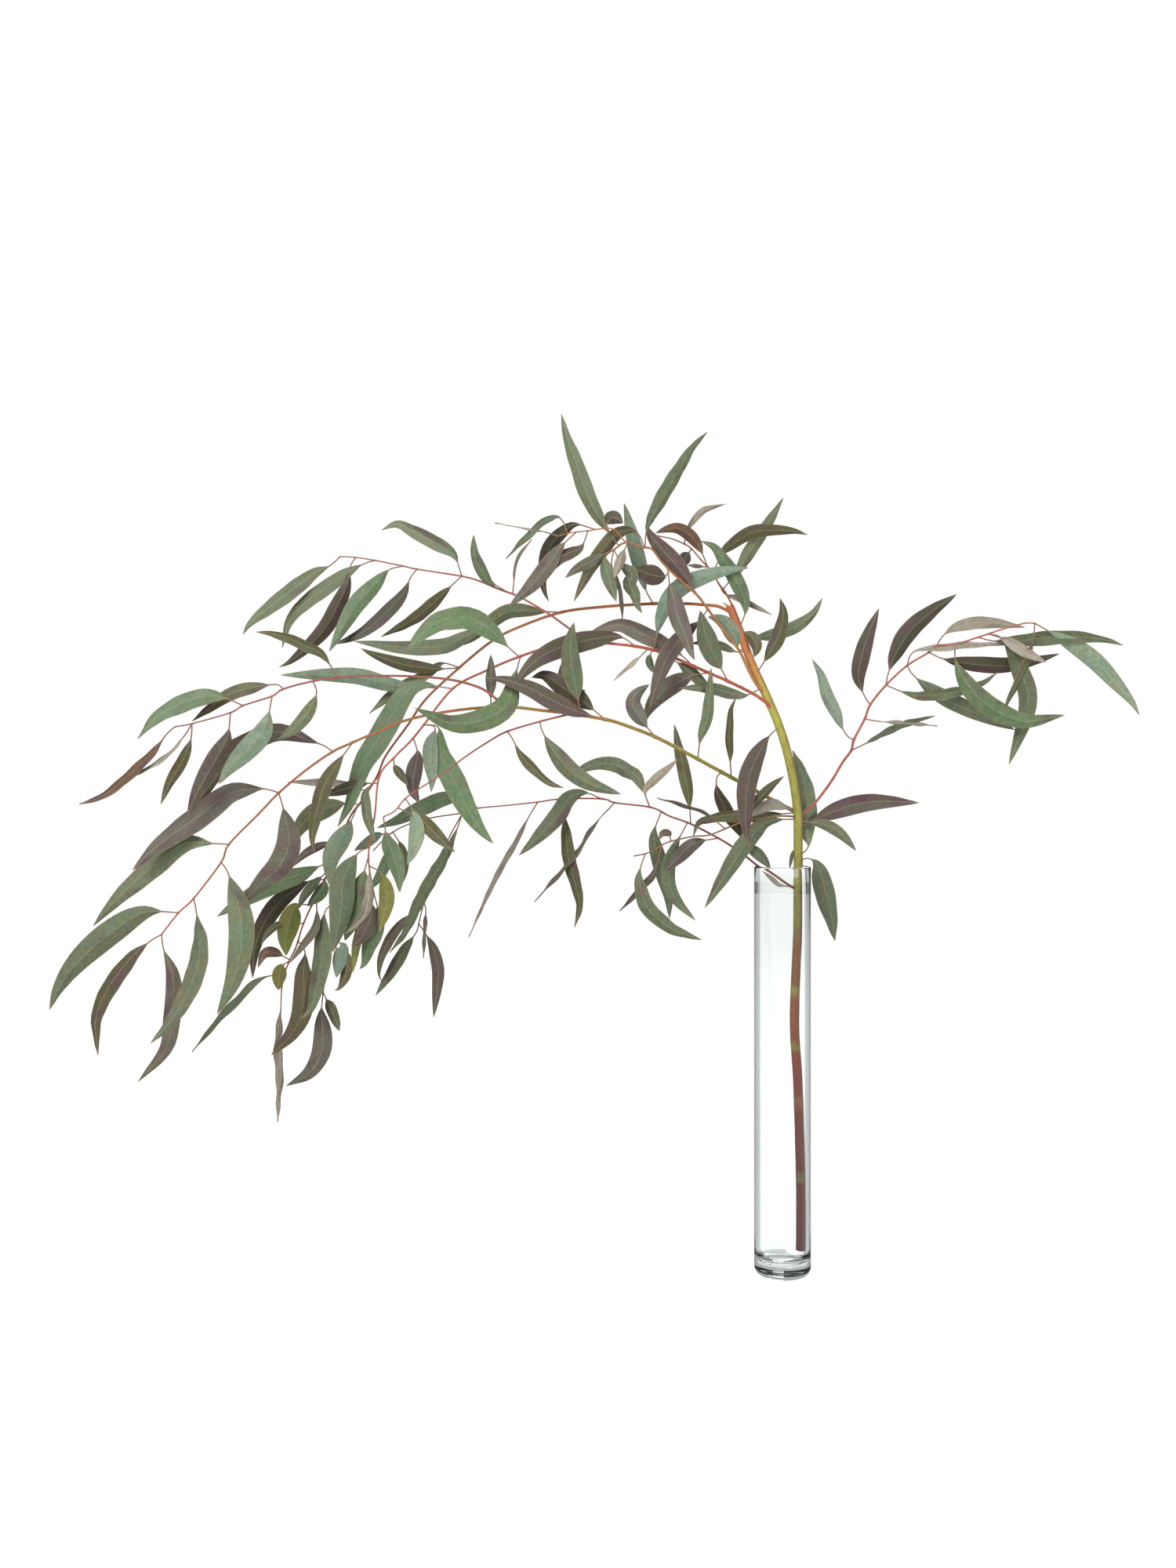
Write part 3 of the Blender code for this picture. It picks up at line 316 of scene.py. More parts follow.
# Brown hazes and clouds of purple lie over a leaf. They stretch differently along and across it.
NOISE_SEEDS = 500
SEEDS_APART = 40
BROWN_HAZE_MM = 12
BROWN_HAZE_ACROSS = 1.1
BROWN_HAZES = 1.2
BROWN_HAZE_SHARE = 0.45
FLUSH_CLOUD_MM = 30
FLUSH_CLOUD_ACROSS = 0.8
FLUSH_CLOUDS = 1.4
FLUSH_CUT = 0.1
MOST_FLUSH = 0.85
# Extra purple next to the stalk, over this share of the leaf, and from this share on to the tip
STALK_FLUSH = 0.35
FLUSH_REACH = 0.12
TIP_FLUSH = 0.25
FLUSHED_FROM = 0.85
PURPLE_FLUSH = "#52343f"
DRY_TIP = "#8a4a38"
DRYNESS = 0.75
DRY_FROM = 0.955
DRY_RUN = 0.04
STALK_RED = "#6f4239"
STALK_LIKE_TWIG = 0.25
# From this share of the stalk's length its red gives way to the blade's colour, over this much of it
GREENS_FROM = 0.7
GREENS_OVER = 0.9
BUD_RED = "#a8442e"
BUD_MM = 0.8
BUD_SIDES = 7
BUDDED = 0.6
# Heights up a bud as shares of its length, each with its width as a share of the bud's radius
BUD_FORM = ((0.0, 0.8), (0.25, 1.0), (0.55, 0.85), (0.8, 0.45), (1.0, 0.08))
BUD_LENGTH = 2.2
BUD_SPLAY = 0.5
BUD_INSET_MM = 0.9
# What is painted over a leaf's own colour: its edge, its midrib, its side veins and dark specks
RED_MARGIN = "#8c7a4c"
MARGIN_REDNESS = 0.6
MARGIN_FROM = 0.9
MIDRIB_PALE = "#a8ad83"
MIDRIB_PALENESS = 0.22
MIDRIB_HALF_MM = (0.75, 0.3)
VEIN_MM = 3.2
VEIN_SLANT = 1.1
VEIN_WANDER = 1.6
VEIN_CREST = 0.55
VEIN_PALENESS = 0.09
VEIN_HEIGHT_MM = 0.07
MOTTLE_MM = 5.0
SPECK_MM = 0.9
SPECK_LEVELS = (0.68, 0.78)
SPECK_DARKNESS = 0.35
# A noise runs mostly between these levels; the pairs below it are the values it is spread over.
NOISE_LEVELS = (0.3, 0.7)
LEAF_MOTTLE = (0.8, 1.16)
LEAF_ROUGHNESS = (0.46, 0.62)
LEAF_SHINE = 0.48
BARK_STREAKS = (0.72, 1.25)
BARK_ROUGHNESS = (0.42, 0.6)
BARK_SHINE = 0.3
BARK_STREAK_MM = 1.4
BARK_STREAK_LONG = 9.0
PORE_MM = 3.5
PORE_EDGE = (0.2, 0.1)
PORE_PALENESS = 0.4
BARK_HEIGHT_MM = 0.16


def waxy_gum_leaf():
    # A leathery leaf with a thin bloom of wax: dull from afar and satin close by, with fine side
    # veins, a pale midrib and a reddish edge. The veins are drawn a little coarse so that they show.
    made, tree, shader = new_material("grown waxy gum leaf")
    shader.inputs["Specular IOR Level"].default_value = LEAF_SHINE
    tone = add(tree, "Attribute", attribute_name="tone").outputs["Color"]
    across = add(tree, "SeparateXYZ", {0: add(tree, "UVMap", uv_map="across_mm").outputs["UV"]})
    shares = add(tree, "SeparateXYZ", {0: add(tree, "UVMap", uv_map="across_share").outputs["UV"]})
    place = add(tree, "TexCoord").outputs["Object"]
    off = add(tree, "Math", {0: across.outputs["X"]}, operation="ABSOLUTE").outputs[0]
    blotch = add(tree, "TexNoise", {"Vector": place, "Scale": 1 / (MOTTLE_MM * MM), "Detail": 3.0})
    speck = add(tree, "TexNoise", {"Vector": place, "Scale": 1 / (SPECK_MM * MM), "Detail": 1.0})
    slant = add(tree, "Math", {0: off, 1: -VEIN_SLANT, 2: across.outputs["Y"]}, operation="MULTIPLY_ADD")
    loose = add(tree, "Math", {0: blotch.outputs["Fac"], 1: VEIN_WANDER, 2: slant.outputs[0]},
                operation="MULTIPLY_ADD")
    turn = add(tree, "Math", {0: loose.outputs[0], 1: 2 * math.pi / VEIN_MM}, operation="MULTIPLY")
    wave = add(tree, "Math", {0: turn.outputs[0]}, operation="COSINE")
    vein = add(tree, "MapRange", {"Value": wave.outputs[0], "From Min": VEIN_CREST, "From Max": 1.0})
    rib = add(tree, "MapRange", {"Value": off, "From Min": MIDRIB_HALF_MM[0],
                                 "From Max": MIDRIB_HALF_MM[1]})
    edge = add(tree, "Math", {0: shares.outputs["X"]}, operation="ABSOLUTE")
    margin = add(tree, "MapRange", {"Value": edge.outputs[0], "From Min": MARGIN_FROM, "From Max": 1.0})
    mottled = add(tree, "MapRange", {"Value": blotch.outputs["Fac"],
                                     "From Min": NOISE_LEVELS[0], "From Max": NOISE_LEVELS[1],
                                     "To Min": LEAF_MOTTLE[0], "To Max": LEAF_MOTTLE[1]})
    shade = add(tree, "HueSaturation", {"Color": tone, "Value": mottled.outputs[0]})
    dots = add(tree, "MapRange", {"Value": speck.outputs["Fac"],
                                  "From Min": SPECK_LEVELS[0], "From Max": SPECK_LEVELS[1],
                                  "To Min": 0.0, "To Max": SPECK_DARKNESS})
    colour = shade.outputs[0]
    for mask, strength, code in ((vein, VEIN_PALENESS, MIDRIB_PALE), (rib, MIDRIB_PALENESS, MIDRIB_PALE),
                                 (margin, MARGIN_REDNESS, RED_MARGIN), (dots, 1.0, PURPLE_FLUSH)):
        share = add(tree, "Math", {0: mask.outputs[0], 1: strength}, operation="MULTIPLY")
        laid = add(tree, "Mix", {0: share.outputs[0], 6: colour, 7: linear(code)}, data_type="RGBA")
        colour = laid.outputs[2]
    tree.links.new(colour, shader.inputs["Base Color"])
    satin = add(tree, "MapRange", {"Value": blotch.outputs["Fac"],
                                   "From Min": NOISE_LEVELS[0], "From Max": NOISE_LEVELS[1],
                                   "To Min": LEAF_ROUGHNESS[0], "To Max": LEAF_ROUGHNESS[1]})
    tree.links.new(satin.outputs[0], shader.inputs["Roughness"])
    relief = add(tree, "Math", {0: vein.outputs[0], 1: speck.outputs["Fac"]}, operation="ADD")
    bump = add(tree, "Bump", {"Height": relief.outputs[0], "Distance": VEIN_HEIGHT_MM * MM})
    tree.links.new(bump.outputs["Normal"], shader.inputs["Normal"])
    return made


def smooth_gum_bark():
    # Young gum bark: smooth and slightly shiny, streaked along the grain and dotted with pale pores.
    made, tree, shader = new_material("grown smooth gum bark")
    shader.inputs["Specular IOR Level"].default_value = BARK_SHINE
    tone = add(tree, "Attribute", attribute_name="tone").outputs["Color"]
    along = add(tree, "UVMap", uv_map="across_mm").outputs["UV"]
    grain = add(tree, "Mapping", {"Vector": along, "Scale": (1 / BARK_STREAK_MM, 1 / BARK_STREAK_LONG, 1)})
    streak = add(tree, "TexNoise", {"Vector": grain.outputs[0], "Scale": 1.0, "Detail": 3.0})
    place = add(tree, "TexCoord").outputs["Object"]
    pores = add(tree, "TexVoronoi", {"Vector": place, "Scale": 1 / (PORE_MM * MM)})
    pore = add(tree, "MapRange", {"Value": pores.outputs["Distance"],
                                  "From Min": PORE_EDGE[0], "From Max": PORE_EDGE[1],
                                  "To Min": 0.0, "To Max": PORE_PALENESS})
    streaks = add(tree, "MapRange", {"Value": streak.outputs["Fac"],
                                     "From Min": NOISE_LEVELS[0], "From Max": NOISE_LEVELS[1],
                                     "To Min": BARK_STREAKS[0], "To Max": BARK_STREAKS[1]})
    shade = add(tree, "HueSaturation", {"Color": tone, "Value": streaks.outputs[0]})
    pored = add(tree, "Mix", {0: pore.outputs[0], 6: shade.outputs[0], 7: linear(SPLINTER)},
                data_type="RGBA")
    tree.links.new(pored.outputs[2], shader.inputs["Base Color"])
    gloss = add(tree, "MapRange", {"Value": streak.outputs["Fac"],
                                   "From Min": NOISE_LEVELS[0], "From Max": NOISE_LEVELS[1],
                                   "To Min": BARK_ROUGHNESS[0], "To Max": BARK_ROUGHNESS[1]})
    tree.links.new(gloss.outputs[0], shader.inputs["Roughness"])
    bump = add(tree, "Bump", {"Height": streak.outputs["Fac"], "Distance": BARK_HEIGHT_MM * MM})
    tree.links.new(bump.outputs["Normal"], shader.inputs["Normal"])
    return made


leaf_material = waxy_gum_leaf()
bark_material = smooth_gum_bark()
BARK = 0
LEAF = 1


def mixed(a, b, share):
    """What lies at a share of the way from one value to another."""
    return a + (b - a) * share


def held(value, least=0, most=1):
    """The value, kept between two limits."""
    return min(max(value, least), most)


def placed(point):
    """A laid-out point (X, Z, depth) moved along its line of sight to its depth, as (X, Y, Z)."""
    x, z, depth = point
    grow = 1 + depth / EYE_DISTANCE
    return Vector((EYE_X + (x - EYE_X) * grow, depth, EYE_Z + (z - EYE_Z) * grow))


def smooth(points, spacing):
    """A Catmull-Rom curve through the points, as points about this far apart."""
    points = [Vector(p) for p in points]
    ends = [points[0] * 2 - points[1], *points, points[-1] * 2 - points[-2]]
    made = [points[0]]
    for a, b, c, d in zip(ends, ends[1:], ends[2:], ends[3:]):
        steps = max(1, round((c - b).length / spacing))
        for step in range(1, steps + 1):
            t = step / steps
            bend = a * 2 - b * 5 + c * 4 - d
            turn = b * 3 - a - c * 3 + d
            made.append((b * 2 + (c - a) * t + bend * t**2 + turn * t**3) / 2)
    return made


def measured(points):
    """How far along a polyline each of its points is, from 0 to 1, and its length."""
    run = [0.0]
    for a, b in zip(points, points[1:]):
        run.append(run[-1] + (b - a).length)
    return [r / run[-1] for r in run], run[-1]


def at_share(points, marks, share):
    """The place and direction at a share of a polyline's length."""
    i = held(bisect.bisect_right(marks, share), 1, len(points) - 1)
    t = (share - marks[i - 1]) / (marks[i] - marks[i - 1])
    return points[i - 1].lerp(points[i], t), (points[i] - points[i - 1]).normalized()


def nearest(point, routes):
    """The point on the routes nearest to a laid-out X and Z, with its depth."""
    best = None
    for route in routes:
        for a, b in zip(route, route[1:]):
            a, b = Vector(a), Vector(b)
            across = (b - a).xy
            t = held((Vector(point[:2]) - a.xy).dot(across) / across.length_squared)
            found = a.lerp(b, t)
            gap = (found.xy - Vector(point[:2])).length
            if best is None or gap < best[0]:
                best = (gap, found)
    return best[1]


def tint(code):
    """An sRGB hex code as an array of linear red, green and blue."""
    return np.array(linear(code)[:3])


def add_shell(grown, rings, tones, across_mm, across_share, kind):
    """Adds a closed skin: rings of points joined into a tube, with a face over each end."""
    rows, count, _ = rings.shape
    start = grown["count"]
    index = start + np.arange(rows * count).reshape(rows, count)
    around = np.concatenate([index, index[:, :1]], axis=1)
    quads = np.stack([around[:-1, :-1], around[:-1, 1:], around[1:, 1:], around[1:, :-1]], axis=-1)
    grown["points"].append(rings.reshape(-1, 3))
    grown["tones"].append(tones.reshape(-1, 3))
    grown["faces"] += quads.reshape(-1, 4).tolist()
    grown["faces"] += [index[0, ::-1].tolist(), index[-1].tolist()]
    for key, table in (("across_mm", across_mm), ("across_share", across_share)):
        corners = [table[:-1, :-1], table[:-1, 1:], table[1:, 1:], table[1:, :-1]]
        grown[key] += [np.stack(corners, axis=2).reshape(-1, 2), table[0, count - 1::-1], table[-1, :count]]
    grown["kinds"] += [kind] * (quads.shape[0] * quads.shape[1] + 2)
    grown["count"] += rows * count


def add_tube(grown, route, radii, colours, sides, squash=1.0):
    """A round twig: rings square to the route, turned as little as they can be."""
    marks, length = measured(route)
    angles = [2 * math.pi * k / sides for k in range(sides)]
    side = None
    rings = []
    for i, place in enumerate(route):
        ahead = (route[min(i + 1, len(route) - 1)] - route[max(i - 1, 0)]).normalized()
        if side is None:
            side = ahead.cross(Vector((0, 1, 0)))
        side = (side - ahead * side.dot(ahead)).normalized()
        up = ahead.cross(side)
        rings.append([place + (side * math.cos(a) + up * math.sin(a) * squash) * radii[i] for a in angles])
    rings = np.array(rings)
    turn = np.linspace(0, 1, sides + 1)[None, :]
    girth = 2 * math.pi * np.array(radii)[:, None]
    run = np.array(marks)[:, None] * np.ones_like(turn)
    across_mm = np.stack([girth.mean() * turn * np.ones_like(run), run * length], axis=-1)
    across_share = np.stack([turn * np.ones_like(run), run], axis=-1)
    colours = np.array(colours)
    tones = colours if colours.ndim == 3 else np.repeat(colours[:, None, :], sides, axis=1)
    add_shell(grown, rings, tones, across_mm, across_share, BARK)


def half_width(share, full):
    """A lance-shaped outline, drawn in at its base, as half the width at a share of the blade."""
    outline = math.sin(math.pi * min(share, 1) ** WIDEST_AT) ** FULLNESS
    return full / 2 * outline * (1 - math.exp(-share / BASE_TAPER))


def leaf_rows(length):
    """Where along a leaf its rows lie, as shares, and the share at which its stalk ends."""
    stalk = min(PETIOLE_MM, PETIOLE_SHARE * length) / length
    even = np.linspace(0, 1, BLADE_ROWS + 1)
    eased = (even + (1 - np.cos(math.pi * even)) / 2) / 2
    return [*np.linspace(0, stalk, STALK_ROWS, endpoint=False), *(stalk + eased * (1 - stalk))], stalk


def thickness(across, half, rib_share):
    """The blade's thickness at places across it: thin at the edges, with a raised rib."""
    rib = RIB_MM * (1 - RIB_THINNING * rib_share)
    offs = across * half
    blade = BLADE_MM + (rib - BLADE_MM) * np.exp(-(offs / RIB_WIDTH_MM) ** 2)
    blade = mixed(blade, MARGIN_MM, np.abs(across) ** MARGIN_POWER)
    stalk = np.maximum(2 * PETIOLE_RADIUS * np.sqrt(1 - across**2), THINNEST_MM)
    return mixed(stalk, blade, held((half - PETIOLE_RADIUS) / BLADE_FADE_MM))


def leaf_tones(tone, draw, rows, stalk, length, twig_tone):
    """The leaf's colour row by row and across it: flushed with purple, redder at tip and stalk."""
    code, clouded, spread = TONES[tone]
    light = draw.uniform(*LIGHTNESS) * np.array([draw.uniform(*REDNESS), 1.0, draw.uniform(*BLUENESS)])
    base, brown = tint(code) * light, tint(clouded) * light
    seed = draw.uniform(0, NOISE_SEEDS)
    stalk_tone = mixed(tint(STALK_RED), twig_tone, STALK_LIKE_TWIG)
    table = np.empty((len(rows), len(COLUMNS), 3))
    for i, share in enumerate(rows):
        for j, v in enumerate(COLUMNS):
            run = share * length
            cloud = noise.noise(Vector((run / FLUSH_CLOUD_MM, v * FLUSH_CLOUD_ACROSS, seed)))
            haze = noise.noise(Vector((run / BROWN_HAZE_MM, v * BROWN_HAZE_ACROSS, seed + SEEDS_APART)))
            colour = mixed(base, brown, held(haze * BROWN_HAZES + BROWN_HAZE_SHARE))
            near_stalk = max(1 - (share - stalk) / FLUSH_REACH, 0)
            near_tip = max((share - FLUSHED_FROM) / (1 - FLUSHED_FROM), 0)
            ends = STALK_FLUSH * near_stalk + TIP_FLUSH * near_tip
            flush = held(cloud * FLUSH_CLOUDS + spread - FLUSH_CUT + ends, 0, MOST_FLUSH)
            colour = mixed(colour, tint(PURPLE_FLUSH), flush)
            colour = mixed(colour, tint(DRY_TIP), DRYNESS * held((share - DRY_FROM) / DRY_RUN))
            green = held((share - stalk * GREENS_FROM) / (stalk * GREENS_OVER))
            table[i, j] = mixed(stalk_tone, colour, green)
    return table


def add_leaf(grown, name, number, leaf, routes, twig_tone):
    """One leaf: its blade is rolled about its midrib, folded, waved and a little twisted."""
    seen, tone, lean, *points = leaf
    draw = random.Random(f"{name} leaf {number}")
    base = nearest(points[0], routes)
    flat = [base] + [Vector((*p, base.z)) for p in points if (Vector(p) - base.xy).length > CLOSE_TO_BASE_MM]
    marks, _ = measured(flat)
    middle = smooth([placed((p.x, p.y, base.z + lean * m)) for p, m in zip(flat, marks)], MIDRIB_SPACING)
    marks, length = measured(middle)
    seen *= EDGE_ALLOWANCE
    full = max(seen, min(NATURAL_WIDTH * length, WIDEST_NATURAL))
    roll = max(math.acos(min(1, seen / full)), EVEN_ROLL) * (1 if number % 2 else -1)
    fold = math.tan(math.radians(draw.uniform(*FOLD_DEGREES)))
    twist = math.radians(draw.uniform(-TWIST_DEGREES, TWIST_DEGREES))
    wave = draw.uniform(*WAVE_MM)
    turns = length / draw.uniform(*WAVE_LENGTH_MM)
    phases = [draw.uniform(0, WAVE_PHASE) for _ in range(2)]
    rows, stalk = leaf_rows(length)
    columns = np.array(COLUMNS)
    rings, across_mm, across_share = [], [], []
    for share in rows:
        blade_share = max(share - stalk, 0) / (1 - stalk)
        place, ahead = at_share(middle, marks, share)
        across = ahead.cross(Vector((0, 1, 0))).normalized()
        out = across.cross(ahead)
        angle = roll + twist * (blade_share - UNTWISTED_AT)
        edge = np.array(across * math.cos(angle) + out * math.sin(angle))
        face = np.array(out * math.cos(angle) - across * math.sin(angle))
        least = PETIOLE_RADIUS if blade_share < 0.5 else TIP_HALF_WIDTH
        half = max(half_width(blade_share, full), least)
        off = columns * half
        waved = [math.sin(2 * math.pi * turns * share + phases[int(v > 0)]) * v * v for v in columns]
        blade = held((half - PETIOLE_RADIUS) / FOLD_FADE_MM)
        folded = fold * (np.sqrt(off**2 + FOLD_ROUNDING) - FOLD_DROP)
        rise = folded * blade + wave * np.array(waved) * blade
        thick = thickness(columns, half, blade_share) / 2
        line = np.array(place) + off[:, None] * edge
        back = line + (rise - thick)[:, None] * face
        front = line + (rise + thick)[:, None] * face
        rings.append(np.concatenate([back[::-1], front]))
        both = np.concatenate([off[::-1], off, off[-1:]])
        across_mm.append(np.stack([both, np.full(len(both), share * length)], axis=-1))
        both = np.concatenate([columns[::-1], columns, columns[-1:]])
        across_share.append(np.stack([both, np.full(len(both), share)], axis=-1))
    tones = leaf_tones(tone, draw, rows, stalk, length, twig_tone)
    tones = np.concatenate([tones[:, ::-1], tones], axis=1)
    add_shell(grown, np.array(rings), tones, np.array(across_mm), np.array(across_share), LEAF)
    return middle


def add_bud(grown, place, ahead, size, colour):
    """A small pointed bud standing in the angle between a twig and a leaf."""
    route = [place + ahead * (size * BUD_LENGTH * height) for height, _ in BUD_FORM]
    add_tube(grown, route, [size * width for _, width in BUD_FORM], [colour] * len(route), BUD_SIDES)


def twig_colour(share, place, codes):
    """The bark's colour at a share of a twig, from the codes at its start and end."""
    cloud = noise.noise(place / TWIG_CLOUD_MM)
    ripe = held(share + cloud * TWIG_RIPENING)
    return mixed(tint(codes[0]), tint(codes[1]), ripe) * (1 + cloud * TWIG_SHADING)


def add_twig(grown, twig, codes, carrier_routes, nodes):
    """A tapering twig, swollen at its nodes and, where it leaves a carrier, at its collar."""
    start, end, *points = twig
    if carrier_routes:
        root = nearest(points[0], carrier_routes)
        points = [tuple(root)] + [p for p in points if (Vector(p) - root).length > CLOSE_TO_ROOT_MM]
    route = smooth([placed(p) for p in points], RING_MM)
    marks, length = measured(route)
    radii = []
    for place, mark in zip(route, marks):
        radius = mixed(start, end, mark)
        gap = min((place - node).length for node in nodes)
        radius *= 1 + NODE_SWELL * math.exp(-(gap / NODE_SWELL_MM) ** 2)
        if carrier_routes:
            radius *= 1 + COLLAR_SWELL * math.exp(-mark * length / COLLAR_MM)
        radii.append(radius)
    colours = [twig_colour(mark, place, codes) for place, mark in zip(route, marks)]
    add_tube(grown, route, radii, colours, TWIG_SIDES)


def new_growth():
    """An empty store for what a branch grows: points, faces, colours and places across the leaves."""
    return {"count": 0, "points": [], "faces": [], "tones": [], "kinds": [], "across_mm": [],
            "across_share": []}


def add_leaves(grown, name, twigs, leaves, code):
    """A branch's leaves, most of them with a bud in the angle they make with the twig."""
    routes = [twig[2:] for twig in twigs]
    for number, leaf in enumerate(leaves):
        middle = add_leaf(grown, name, number, leaf, routes, tint(code))
        draw = random.Random(f"{name} bud {number}")
        if draw.random() < BUDDED:
            ahead = (middle[2] - middle[0]).normalized()
            lift = Vector((draw.uniform(-1, 1), draw.uniform(-1, 1), draw.uniform(0, 1)))
            up = (ahead + lift * BUD_SPLAY).normalized()
            add_bud(grown, middle[0] + ahead * BUD_INSET_MM, up, BUD_MM, tint(BUD_RED))


def made_of(name, grown):
    """One mesh object of everything grown, with its colours, its two maps and its two materials."""
    piece = name.replace(" ", "_") + "_in_leaf"
    mesh = bpy.data.meshes.new(piece)
    mesh.from_pydata(np.concatenate(grown["points"]) * MM, [], grown["faces"])
    tones = np.concatenate(grown["tones"])
    colours = mesh.color_attributes.new("tone", "FLOAT_COLOR", "POINT")
    colours.data.foreach_set("color", np.concatenate([tones, np.ones((len(tones), 1))], axis=1).ravel())
    for key in ("across_mm", "across_share"):
        layer = mesh.uv_layers.new(name=key)
        layer.uv.foreach_set("vector", np.concatenate(grown[key]).ravel())
    mesh.materials.append(bark_material)
    mesh.materials.append(leaf_material)
    mesh.polygons.foreach_set("material_index", grown["kinds"])
    mesh.shade_smooth()
    made = bpy.data.objects.new(piece, mesh)
    bpy.context.scene.collection.objects.link(made)
    return made


def grow(name, twigs, leaves, codes, carrier_twigs):
    """A branch with its twigs, leaves and buds, as one mesh object."""
    grown = new_growth()
    routes = [twig[2:] for twig in twigs]
    nodes = [placed(nearest(leaf[3], routes)) for leaf in leaves]
    for number, twig in enumerate(twigs):
        carriers = [t[2:] for t in carrier_twigs] if number == 0 else ()
        add_twig(grown, twig, codes, carriers, nodes)
    add_leaves(grown, name, twigs, leaves, codes[1])
    return made_of(name, grown)


def banded(bands, height):
    """The value at a height in a table of heights and values, running evenly between them."""
    heights = [z for z, _ in bands]
    i = held(bisect.bisect_right(heights, height), 1, len(bands) - 1)
    (low, first), (high, second) = bands[i - 1:i + 1]
    return mixed(first, second, held((height - low) / (high - low)))


BARK_TINTS = [(z, tint(code)) for z, code in STEM_BARK]


def stem_colour(place, side=0.0):
    """The stem's bark colour by height, darkened with painted shade as far round to the left as it lies."""
    height = place.z + noise.noise(place / BAND_CLOUD_MM) * BAND_WANDER_MM
    # The side round to the left is darkened with painted shade, which has a frayed edge.
    shade_fray = noise.noise(place / PAINTED_SHADE_CLOUD_MM) * PAINTED_SHADE_FRAY
    left_shade = held(side * PAINTED_SHADE_STEEPNESS + PAINTED_SHADE_REACH + shade_fray)
    return mixed(banded(BARK_TINTS, height), tint(BARK_IN_PAINTED_SHADE), banded(LEFT_SHADE_BY_HEIGHT, height) * left_shade)


def add_stem(grown):
    """The stem's own tube: rings follow its route, coloured by height and painted side shade, and a little
    uneven.
    """
    start, end, *points = MAIN_STEM_TWIGS[0]
    route = smooth([placed(p) for p in points], STEM_RING_MM)
    marks, _ = measured(route)
    radii = [mixed(start, end, mark) * (1 + STEM_UNEVEN * noise.noise(place / STEM_UNEVEN_MM))
             for place, mark in zip(route, marks)]
    lefts = [-math.cos(2 * math.pi * k / STEM_SIDES) for k in range(STEM_SIDES)]
    colours = [[stem_colour(place + Vector((-left, 0, 0)) * BARK_READ_MM, left) for left in lefts]
               for place in route]
    add_tube(grown, route, radii, colours, STEM_SIDES)
    into_stem = route[-1].lerp(route[-4], 0.5)
    snag = [into_stem, into_stem.lerp(placed(SNAG), 0.5), placed(SNAG)]
    widths = [SNAG_RADIUS, SNAG_RADIUS * SNAG_TAPER, SNAG_TIP]
    add_tube(grown, snag, widths, [tint(SPLINTER)] * len(snag), SNAG_SIDES, SNAG_SQUASH)


stem_growth = new_growth()
add_stem(stem_growth)
add_leaves(stem_growth, "main stem", MAIN_STEM_TWIGS, MAIN_STEM_LEAVES, STEM_LEAF_STALK)
for x, z, depth in STEM_STUBS:
    bark = stem_colour(Vector((x, 0, z)))
    add_bud(stem_growth, placed((x - STUB_INSET, z, depth)), STUB_LEAN, STUB_RADIUS, bark)
stem = made_of("main stem", stem_growth)
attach(stem, "root")
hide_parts("main_stem")

# The long branch leaves the stem above the rim, arches out to the left and droops. It is an olive twig
# that turns reddish, with broad grey-green and mauve hanging leaves, and grew out of the stem.
LONG_BRANCH_TWIGS = (
    (2.6, 0.9, (12, 592, 13), (-35, 617, 5), (-77, 640, -2), (-123, 665, -8), (-162, 685, -12),
     (-198, 699, -15), (-224, 707, -17), (-273, 715, -20), (-308, 719, -24), (-345, 723, -28),
     (-388, 722, -32), (-436, 716, -37), (-481, 706, -42), (-518, 691, -46), (-555, 675, -50),
     (-574, 666, -52), (-606, 644, -54), (-642, 614, -56), (-668, 587, -57), (-706, 548, -58),
     (-716, 525, -58), (-751, 479, -58), (-770, 461, -58), (-792, 433, -58)),
)
LONG_BRANCH_LEAVES = (
    (15, "k", 25, (-78, 639), (-84, 633), (-83, 616), (-75, 597), (-64, 578), (-52, 562), (-45, 545)),
    (8, "o", -25, (-65, 634), (-67, 660), (-68, 689), (-66, 717), (-59, 736)),
    (13, "g", -25, (-107, 658), (-107, 667), (-104, 685), (-96, 708), (-93, 736), (-91, 773)),
    (18, "m", 10, (-161, 686), (-174, 699), (-186, 715), (-191, 729), (-185, 741), (-170, 752)),
    (22, "g", -20, (-257, 713), (-263, 745), (-270, 785), (-270, 810), (-266, 831)),
    (22, "k", 15, (-226, 709), (-249, 726), (-277, 746), (-302, 763), (-320, 761)),
    (20, "p", -25, (-225, 707), (-263, 718), (-294, 732), (-324, 748), (-355, 758), (-377, 760)),
    (12, "k", 10, (-372, 722), (-372, 761), (-372, 790)),
    (18, "o", 15, (-548, 678), (-567, 652), (-584, 624), (-594, 591), (-600, 558), (-597, 538)),
    (22, "p", 20, (-574, 667), (-590, 676), (-641, 691), (-675, 680), (-708, 660), (-742, 605), (-746, 575)),
    (27, "m", -15, (-642, 614), (-666, 619), (-706, 613), (-742, 586), (-798, 545), (-829, 515)),
    (27, "m", 25, (-642, 613), (-637, 595), (-630, 562), (-631, 542), (-641, 521), (-657, 505), (-693, 470)),
    (24, "g", 20, (-706, 548), (-727, 549), (-764, 549), (-803, 520), (-848, 480), (-879, 444)),
    (27, "g", -20, (-716, 525), (-707, 511), (-693, 465), (-690, 425), (-700, 375), (-721, 331)),
    (22, "g", -25, (-751, 479), (-748, 464), (-743, 419), (-753, 373), (-779, 324), (-806, 294)),
    (27, "g", -10, (-770, 461), (-813, 461), (-853, 438), (-896, 401), (-922, 367), (-935, 337)),
    (18, "o", -5, (-792, 433), (-807, 424), (-833, 401), (-862, 361), (-876, 324), (-873, 279)),
    (18, "m", 15, (-792, 432), (-789, 413), (-779, 387), (-776, 358), (-779, 324), (-787, 286), (-822, 245)),
)
